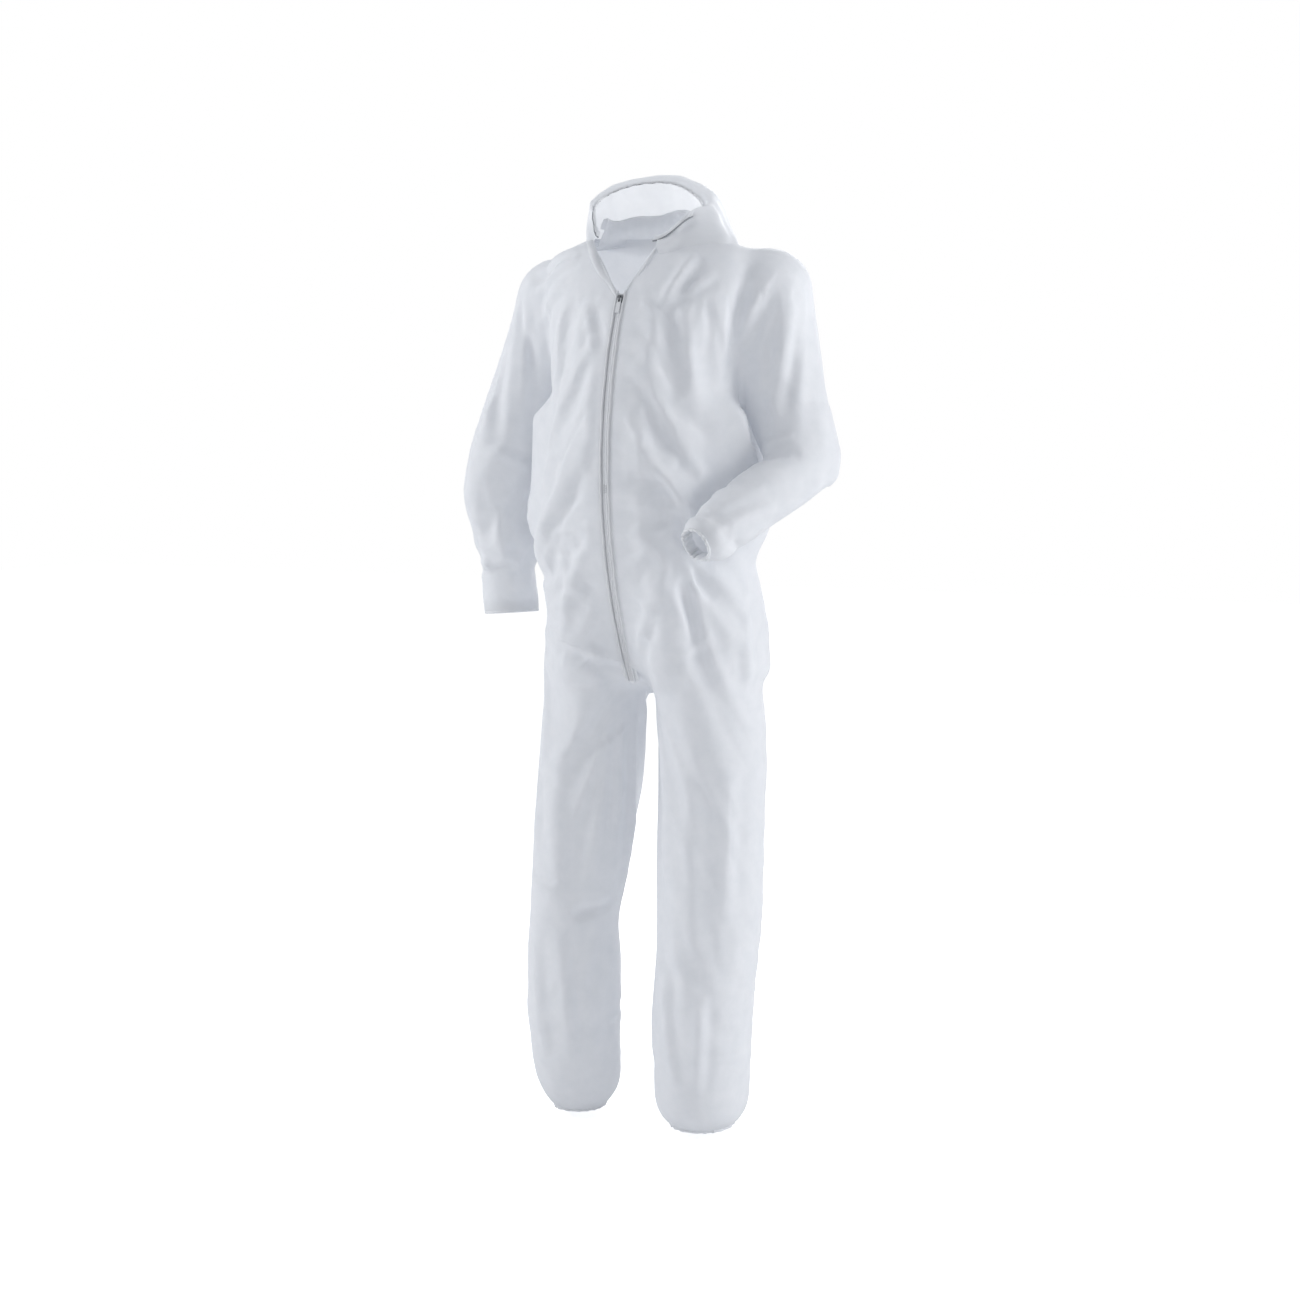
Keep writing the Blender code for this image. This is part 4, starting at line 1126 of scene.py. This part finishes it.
class Nodes:
    """A material's node tree, with short calls to add to it."""

    def __init__(self, name):
        self.material = bpy.data.materials.new(name)
        self.material.use_nodes = True
        self.tree = self.material.node_tree
        self.shader = self.tree.nodes["Principled BSDF"]
        self.output = self.tree.nodes["Material Output"]
        self.place = self.tree.nodes.new("ShaderNodeTexCoord").outputs["Object"]

    def add(self, kind, **values):
        node = self.tree.nodes.new(kind)
        for key, value in values.items():
            if key in node.inputs:
                node.inputs[key].default_value = value
            else:
                setattr(node, key, value)
        return node

    def link(self, source, target):
        self.tree.links.new(source, target)

    def feed(self, socket, value):
        """Gives a socket a number, or links another node's output to it."""
        if isinstance(value, (int, float)):
            socket.default_value = value
        else:
            self.link(value, socket)

    def give(self, name, value):
        """Feeds one of the shader's own sockets."""
        self.feed(self.shader.inputs[name], value)

    def noise(self, scale, detail=2.0, roughness=0.5):
        node = self.add("ShaderNodeTexNoise", Scale=scale, Detail=detail, Roughness=roughness)
        self.link(self.place, node.inputs["Vector"])
        return node.outputs["Fac"]

    def math(self, operation, first, second):
        node = self.add("ShaderNodeMath", operation=operation)
        self.feed(node.inputs[0], first)
        self.feed(node.inputs[1], second)
        return node.outputs[0]

    def paint(self, value, low, high, low_color, high_color):
        """Colours the surface along a ramp of the value, and returns the colour."""
        node = self.add("ShaderNodeValToRGB")
        for index, (position, color) in enumerate(((low, low_color), (high, high_color))):
            node.color_ramp.elements[index].position = position
            node.color_ramp.elements[index].color = (*color, 1)
        self.link(value, node.inputs["Fac"])
        self.give("Base Color", node.outputs["Color"])
        return node.outputs["Color"]

    def bump(self, height, strength, distance):
        node = self.add("ShaderNodeBump", Strength=strength, Distance=distance)
        self.link(height, node.inputs["Height"])
        self.link(node.outputs["Normal"], self.shader.inputs["Normal"])
        return node.outputs["Normal"]


def cloth_material(name, light, dark, through):
    """Spunbond cloth: bonded fibres in a fine grid of embossed dots, faintly mottled."""
    nodes = Nodes(name)
    mottle = nodes.noise(38.0, 4.0, 0.6)
    fibres = nodes.noise(900.0, 3.0, 0.7)
    dots = nodes.add("ShaderNodeTexVoronoi", Scale=620.0, Randomness=0.25)
    nodes.link(nodes.place, dots.inputs["Vector"])
    shade = nodes.math("ADD", nodes.math("MULTIPLY", mottle, 0.75), nodes.math("MULTIPLY", fibres, 0.25))
    color = nodes.paint(shade, 0.30, 0.70, dark, light)
    height = nodes.math("ADD", nodes.math("MULTIPLY", fibres, 0.7),
                        nodes.math("MULTIPLY", dots.outputs["Distance"], 0.5))
    height = nodes.math("ADD", height, nodes.math("MULTIPLY", nodes.noise(110.0, 2.0), 1.2))
    normal = nodes.bump(height, 0.30, 0.0004)
    nodes.give("Roughness", 0.62)
    nodes.give("Specular IOR Level", 0.35)
    nodes.give("Sheen Weight", 0.12)
    nodes.give("Sheen Roughness", 0.45)
    thin = nodes.add("ShaderNodeBsdfTranslucent")
    nodes.link(color, thin.inputs["Color"])
    nodes.link(normal, thin.inputs["Normal"])
    mix = nodes.add("ShaderNodeMixShader", Fac=through)
    nodes.link(nodes.shader.outputs[0], mix.inputs[1])
    nodes.link(thin.outputs[0], mix.inputs[2])
    nodes.link(mix.outputs[0], nodes.output.inputs["Surface"])
    return nodes.material


def elastic_and_rim_shadow_material():
    """Knitted elastic: fine ribs across its length, in a dark grey that along the hood's rim is painted
    shadow, standing in for the shade between the rolled edge and the inside. The waist elastic gets the
    same grey.
    """
    nodes = Nodes("elastic_rib_and_rim_shadow")
    ribs = nodes.add("ShaderNodeTexWave", Scale=420.0, Distortion=1.5, Detail=1.0)
    nodes.link(nodes.place, ribs.inputs["Vector"])
    nodes.paint(ribs.outputs["Fac"], 0.2, 0.8, (0.22, 0.235, 0.26), (0.36, 0.38, 0.41))
    nodes.bump(ribs.outputs["Fac"], 0.4, 0.0004)
    nodes.give("Roughness", 0.75)
    return nodes.material


def tape_material():
    """The zip's woven tape."""
    nodes = Nodes("zip_tape_weave")
    weave = nodes.add("ShaderNodeTexChecker", Scale=1600.0)
    nodes.link(nodes.place, weave.inputs["Vector"])
    height = nodes.math("ADD", weave.outputs["Fac"], nodes.noise(500.0, 2.0))
    nodes.paint(nodes.noise(160.0, 3.0), 0.3, 0.7, (0.80, 0.82, 0.85), (0.86, 0.875, 0.90))
    nodes.bump(height, 0.25, 0.0002)
    nodes.give("Roughness", 0.8)
    return nodes.material


def nylon_material():
    nodes = Nodes("zip_nylon")
    nodes.paint(nodes.noise(300.0, 2.0), 0.3, 0.7, (0.82, 0.835, 0.865), (0.88, 0.89, 0.91))
    nodes.bump(nodes.noise(1400.0, 2.0), 0.12, 0.0001)
    nodes.give("Roughness", 0.38)
    return nodes.material


def metal_material():
    """Dull cast metal, a little brighter where it has been rubbed."""
    nodes = Nodes("slider_metal")
    worn = nodes.noise(420.0, 4.0, 0.6)
    nodes.paint(worn, 0.35, 0.75, (0.16, 0.17, 0.185), (0.34, 0.35, 0.37))
    rough = nodes.math("ADD", nodes.math("MULTIPLY", worn, 0.25), 0.28)
    nodes.give("Roughness", rough)
    nodes.bump(nodes.noise(2200.0, 2.0), 0.10, 0.0001)
    nodes.give("Metallic", 0.9)
    return nodes.material


def enamel_material():
    """White enamel over metal, chipped a little in small scattered spots."""
    nodes = Nodes("tab_enamel")
    chips = nodes.noise(900.0, 3.0, 0.7)
    nodes.paint(chips, 0.66, 0.72, (0.70, 0.72, 0.75), (0.42, 0.43, 0.45))
    nodes.bump(chips, 0.15, 0.0001)
    nodes.give("Roughness", 0.35)
    return nodes.material


def floor_material():
    nodes = Nodes("floor_matte")
    color = nodes.paint(nodes.noise(1.5, 2.0), 0.3, 0.7, (0.93, 0.93, 0.935), (0.95, 0.95, 0.955))
    nodes.give("Roughness", 0.9)
    nodes.give("Specular IOR Level", 0.1)
    nodes.give("Emission Color", color)
    path = nodes.add("ShaderNodeLightPath")
    glow = nodes.math("MULTIPLY", path.outputs["Is Camera Ray"], FLOOR_GLOW)
    nodes.give("Emission Strength", glow)
    return nodes.material


CLOTH = cloth_material("nonwoven_cloth", (0.86, 0.872, 0.90), (0.80, 0.82, 0.852), 0.30)
# The hood and the nape fold get a lighter copy of the same cloth: painted light that brightens the
# shadowed inside of the hood and the neck.
HOOD_CLOTH_PAINTED_LIGHT = cloth_material("hood_cloth_painted_light", (0.92, 0.93, 0.95), (0.87, 0.885, 0.91), 0.42)
# The hems at the wrists and ankles and the zip welts get a darker copy of the same cloth: painted shade
# for their folded, gathered edges.
HEM_CLOTH_PAINTED_SHADE = cloth_material("hem_cloth_painted_shade", (0.83, 0.845, 0.87), (0.76, 0.78, 0.81), 0.15)
ELASTIC_AND_RIM_SHADOW = elastic_and_rim_shadow_material()
TAPE = tape_material()
NYLON = nylon_material()
METAL = metal_material()
ENAMEL = enamel_material()


def dress(obj, material):
    obj.data.materials.clear()
    obj.data.materials.append(material)
    return obj


def dress_node(node, material):
    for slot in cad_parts[node].material_slots:
        slot.material = material


# ---------------------------------------------------------------- building the suit

skin = make_skin()
set_coordinates(skin, simulate(skin))
skin = subdivided(skin, "skin")
set_coordinates(skin, lean_on_arms(coordinates(skin), birth_points(skin)))
set_coordinates(skin, folded(coordinates(skin), skin))
skin_tree = BVHTree.FromPolygons([v.co.copy() for v in skin.vertices],
                                 [tuple(p.vertices) for p in skin.polygons])
panels = split_panels(skin)

body = dress(panels["body"], CLOTH)
body.name = "body_cloth"
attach(body, "trunk")
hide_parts("front_panel_left", "front_panel_right", "back_panel_left", "back_panel_right",
            "crotch_seam")

WRIST_REACH = 0.075
WRIST_PLEATS = 17
ANKLE_REACH = 0.085
ANKLE_PLEATS = 19
ANKLE_RIPPLE = 0.0013
# For each sleeve: where a blend at the shoulder would start, how far past the elbow it would end, and how
# deep the wrist's pleats are
SLEEVES = {"left": (0.262, 0.035, 0.0014), "right": (0.258, 0.050, 0.0003)}

for hand, _, upper, middle, elbow, wrist, lower in ARMS:
    start, after, ripple = SLEEVES[hand]
    top = dress(panels["sleeve_top_" + hand], CLOTH)
    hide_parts("upper_sleeve_" + hand)
    upper * middle.dot(upper)
    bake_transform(top)
    bottom = dress(panels["sleeve_bottom_" + hand], CLOTH)
    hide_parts("lower_sleeve_" + hand)
    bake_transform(bottom)
    hem = add_hem("wrist_gather_" + hand, bottom, wrist, lower, WRIST_REACH, WRIST_PLEATS, ripple)
    dress(hem, HEM_CLOTH_PAINTED_SHADE)
    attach(hem, "forearm_" + hand)
    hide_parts("wrist_hem_" + hand, "wrist_elastic_" + hand)

    leg_top = dress(panels["leg_top_" + hand], CLOTH)
    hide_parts("thigh_" + hand)
    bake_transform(leg_top)
    leg_bottom = dress(panels["leg_bottom_" + hand], CLOTH)
    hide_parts("shin_" + hand)
    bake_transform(leg_bottom)
    ankle = Vector((0.112 if hand == "left" else -0.112, -0.034, ANKLE_Z))
    hem = add_hem("ankle_gather_" + hand, leg_bottom, ankle, Vector((0, 0, -1)), ANKLE_REACH,
                  ANKLE_PLEATS, ANKLE_RIPPLE)
    dress(hem, HEM_CLOTH_PAINTED_SHADE)
    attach(hem, "lower_leg_" + hand)
    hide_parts("ankle_hem_" + hand, "ankle_elastic_" + hand)

hood, rim = add_hood()
dress(hood, HOOD_CLOTH_PAINTED_LIGHT)
# Painted shadow: the rim cord's dark grey stands for the shade along the hood's rim.
dress(rim, ELASTIC_AND_RIM_SHADOW)
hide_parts("hood_left", "hood_right")
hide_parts("hood_elastic")
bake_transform(hood)
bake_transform(rim)
nape = dress(add_nape_fold(), HOOD_CLOTH_PAINTED_LIGHT)
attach(nape, "trunk")

for hand, side, width, lift in (("left", 1, 0.008, 0.0035), ("right", -1, 0.016, 0.0060)):
    lapel = dress(add_lapel("neck_edge_" + hand, side, skin_tree, width, lift), CLOTH)
    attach(lapel, "trunk")
    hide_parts("collar_" + hand)
    teeth = dress(add_zip_teeth("zip_teeth_" + hand, side), NYLON)
    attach(teeth, "trunk")
    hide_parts("zip_coil_" + hand)
    welt = dress(add_zip_welt("zip_welt_" + hand, side), HEM_CLOTH_PAINTED_SHADE)
    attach(welt, "trunk")
    dress_node("zip_tape_" + hand, TAPE)

dress_node("zip_bottom_stop", NYLON)
dress_node("zip_slider", METAL)
dress_node("zip_pull_tab", ENAMEL)

waist = dress(add_waist_gather(), ELASTIC_AND_RIM_SHADOW)
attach(waist, "trunk")
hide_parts("waist_elastic")

# ---------------------------------------------------------------- floor, light and camera

FLOOR_Z = -1.400
FLOOR_HALF_SIZE = 12.0
FLOOR_GLOW = 0.60
WORLD_LIGHT = 0.56


def add_floor():
    bm = bmesh.new()
    bmesh.ops.create_grid(bm, x_segments=8, y_segments=8, size=FLOOR_HALF_SIZE)
    mesh = bpy.data.meshes.new("floor")
    bm.to_mesh(mesh)
    bm.free()
    floor = add_object("floor", mesh)
    floor.location.z = FLOOR_Z
    floor.data.materials.append(floor_material())


def add_area(name, azimuth, height, distance, size, power, aim_z=-0.55):
    """A square lamp that looks at the suit from an azimuth measured like the camera's."""
    data = bpy.data.lights.new(name, "AREA")
    data.size = size
    data.energy = power
    lamp = add_object(name, data)
    turn = math.radians(azimuth)
    lamp.location = (distance * math.sin(turn), -distance * math.cos(turn), height)
    aim = Vector((0, 0, aim_z)) - lamp.location
    lamp.rotation_euler = aim.to_track_quat("-Z", "Y").to_euler()


def add_world():
    world = bpy.data.worlds.new("studio")
    world.use_nodes = True
    tree = world.node_tree
    lighting = tree.nodes["Background"]
    lighting.inputs["Color"].default_value = (0.96, 0.975, 1.0, 1)
    lighting.inputs["Strength"].default_value = WORLD_LIGHT
    seen = tree.nodes.new("ShaderNodeBackground")
    seen.inputs["Color"].default_value = (1, 1, 1, 1)
    path = tree.nodes.new("ShaderNodeLightPath")
    mix = tree.nodes.new("ShaderNodeMixShader")
    tree.links.new(path.outputs["Is Camera Ray"], mix.inputs[0])
    tree.links.new(lighting.outputs[0], mix.inputs[1])
    tree.links.new(seen.outputs[0], mix.inputs[2])
    tree.links.new(mix.outputs[0], tree.nodes["World Output"].inputs["Surface"])
    bpy.context.scene.world = world


def add_camera():
    data = bpy.data.cameras.new("camera")
    data.lens = LENS
    data.sensor_width = 36.0
    camera = add_object("camera", data)
    drop = AIM.z - CAMERA_Z
    level = math.sqrt(CAMERA_DISTANCE**2 - drop**2)
    camera.location = (level * math.sin(CAMERA_AZIMUTH), -level * math.cos(CAMERA_AZIMUTH), CAMERA_Z)
    camera.rotation_euler = (AIM - camera.location).to_track_quat("-Z", "Y").to_euler()
    bpy.context.scene.camera = camera


add_floor()
add_world()
add_area("right_side", 104, 0.4, 3.0, 1.2, 48)
add_area("left_side", -68, 0.8, 3.0, 1.1, 46)
add_area("behind", 205, 0.7, 3.0, 2.6, 26)
add_area("behind_hood", 186, 0.50, 1.3, 0.5, 7.5, aim_z=0.03)
add_camera()
bpy.context.scene.view_settings.view_transform = "Standard"
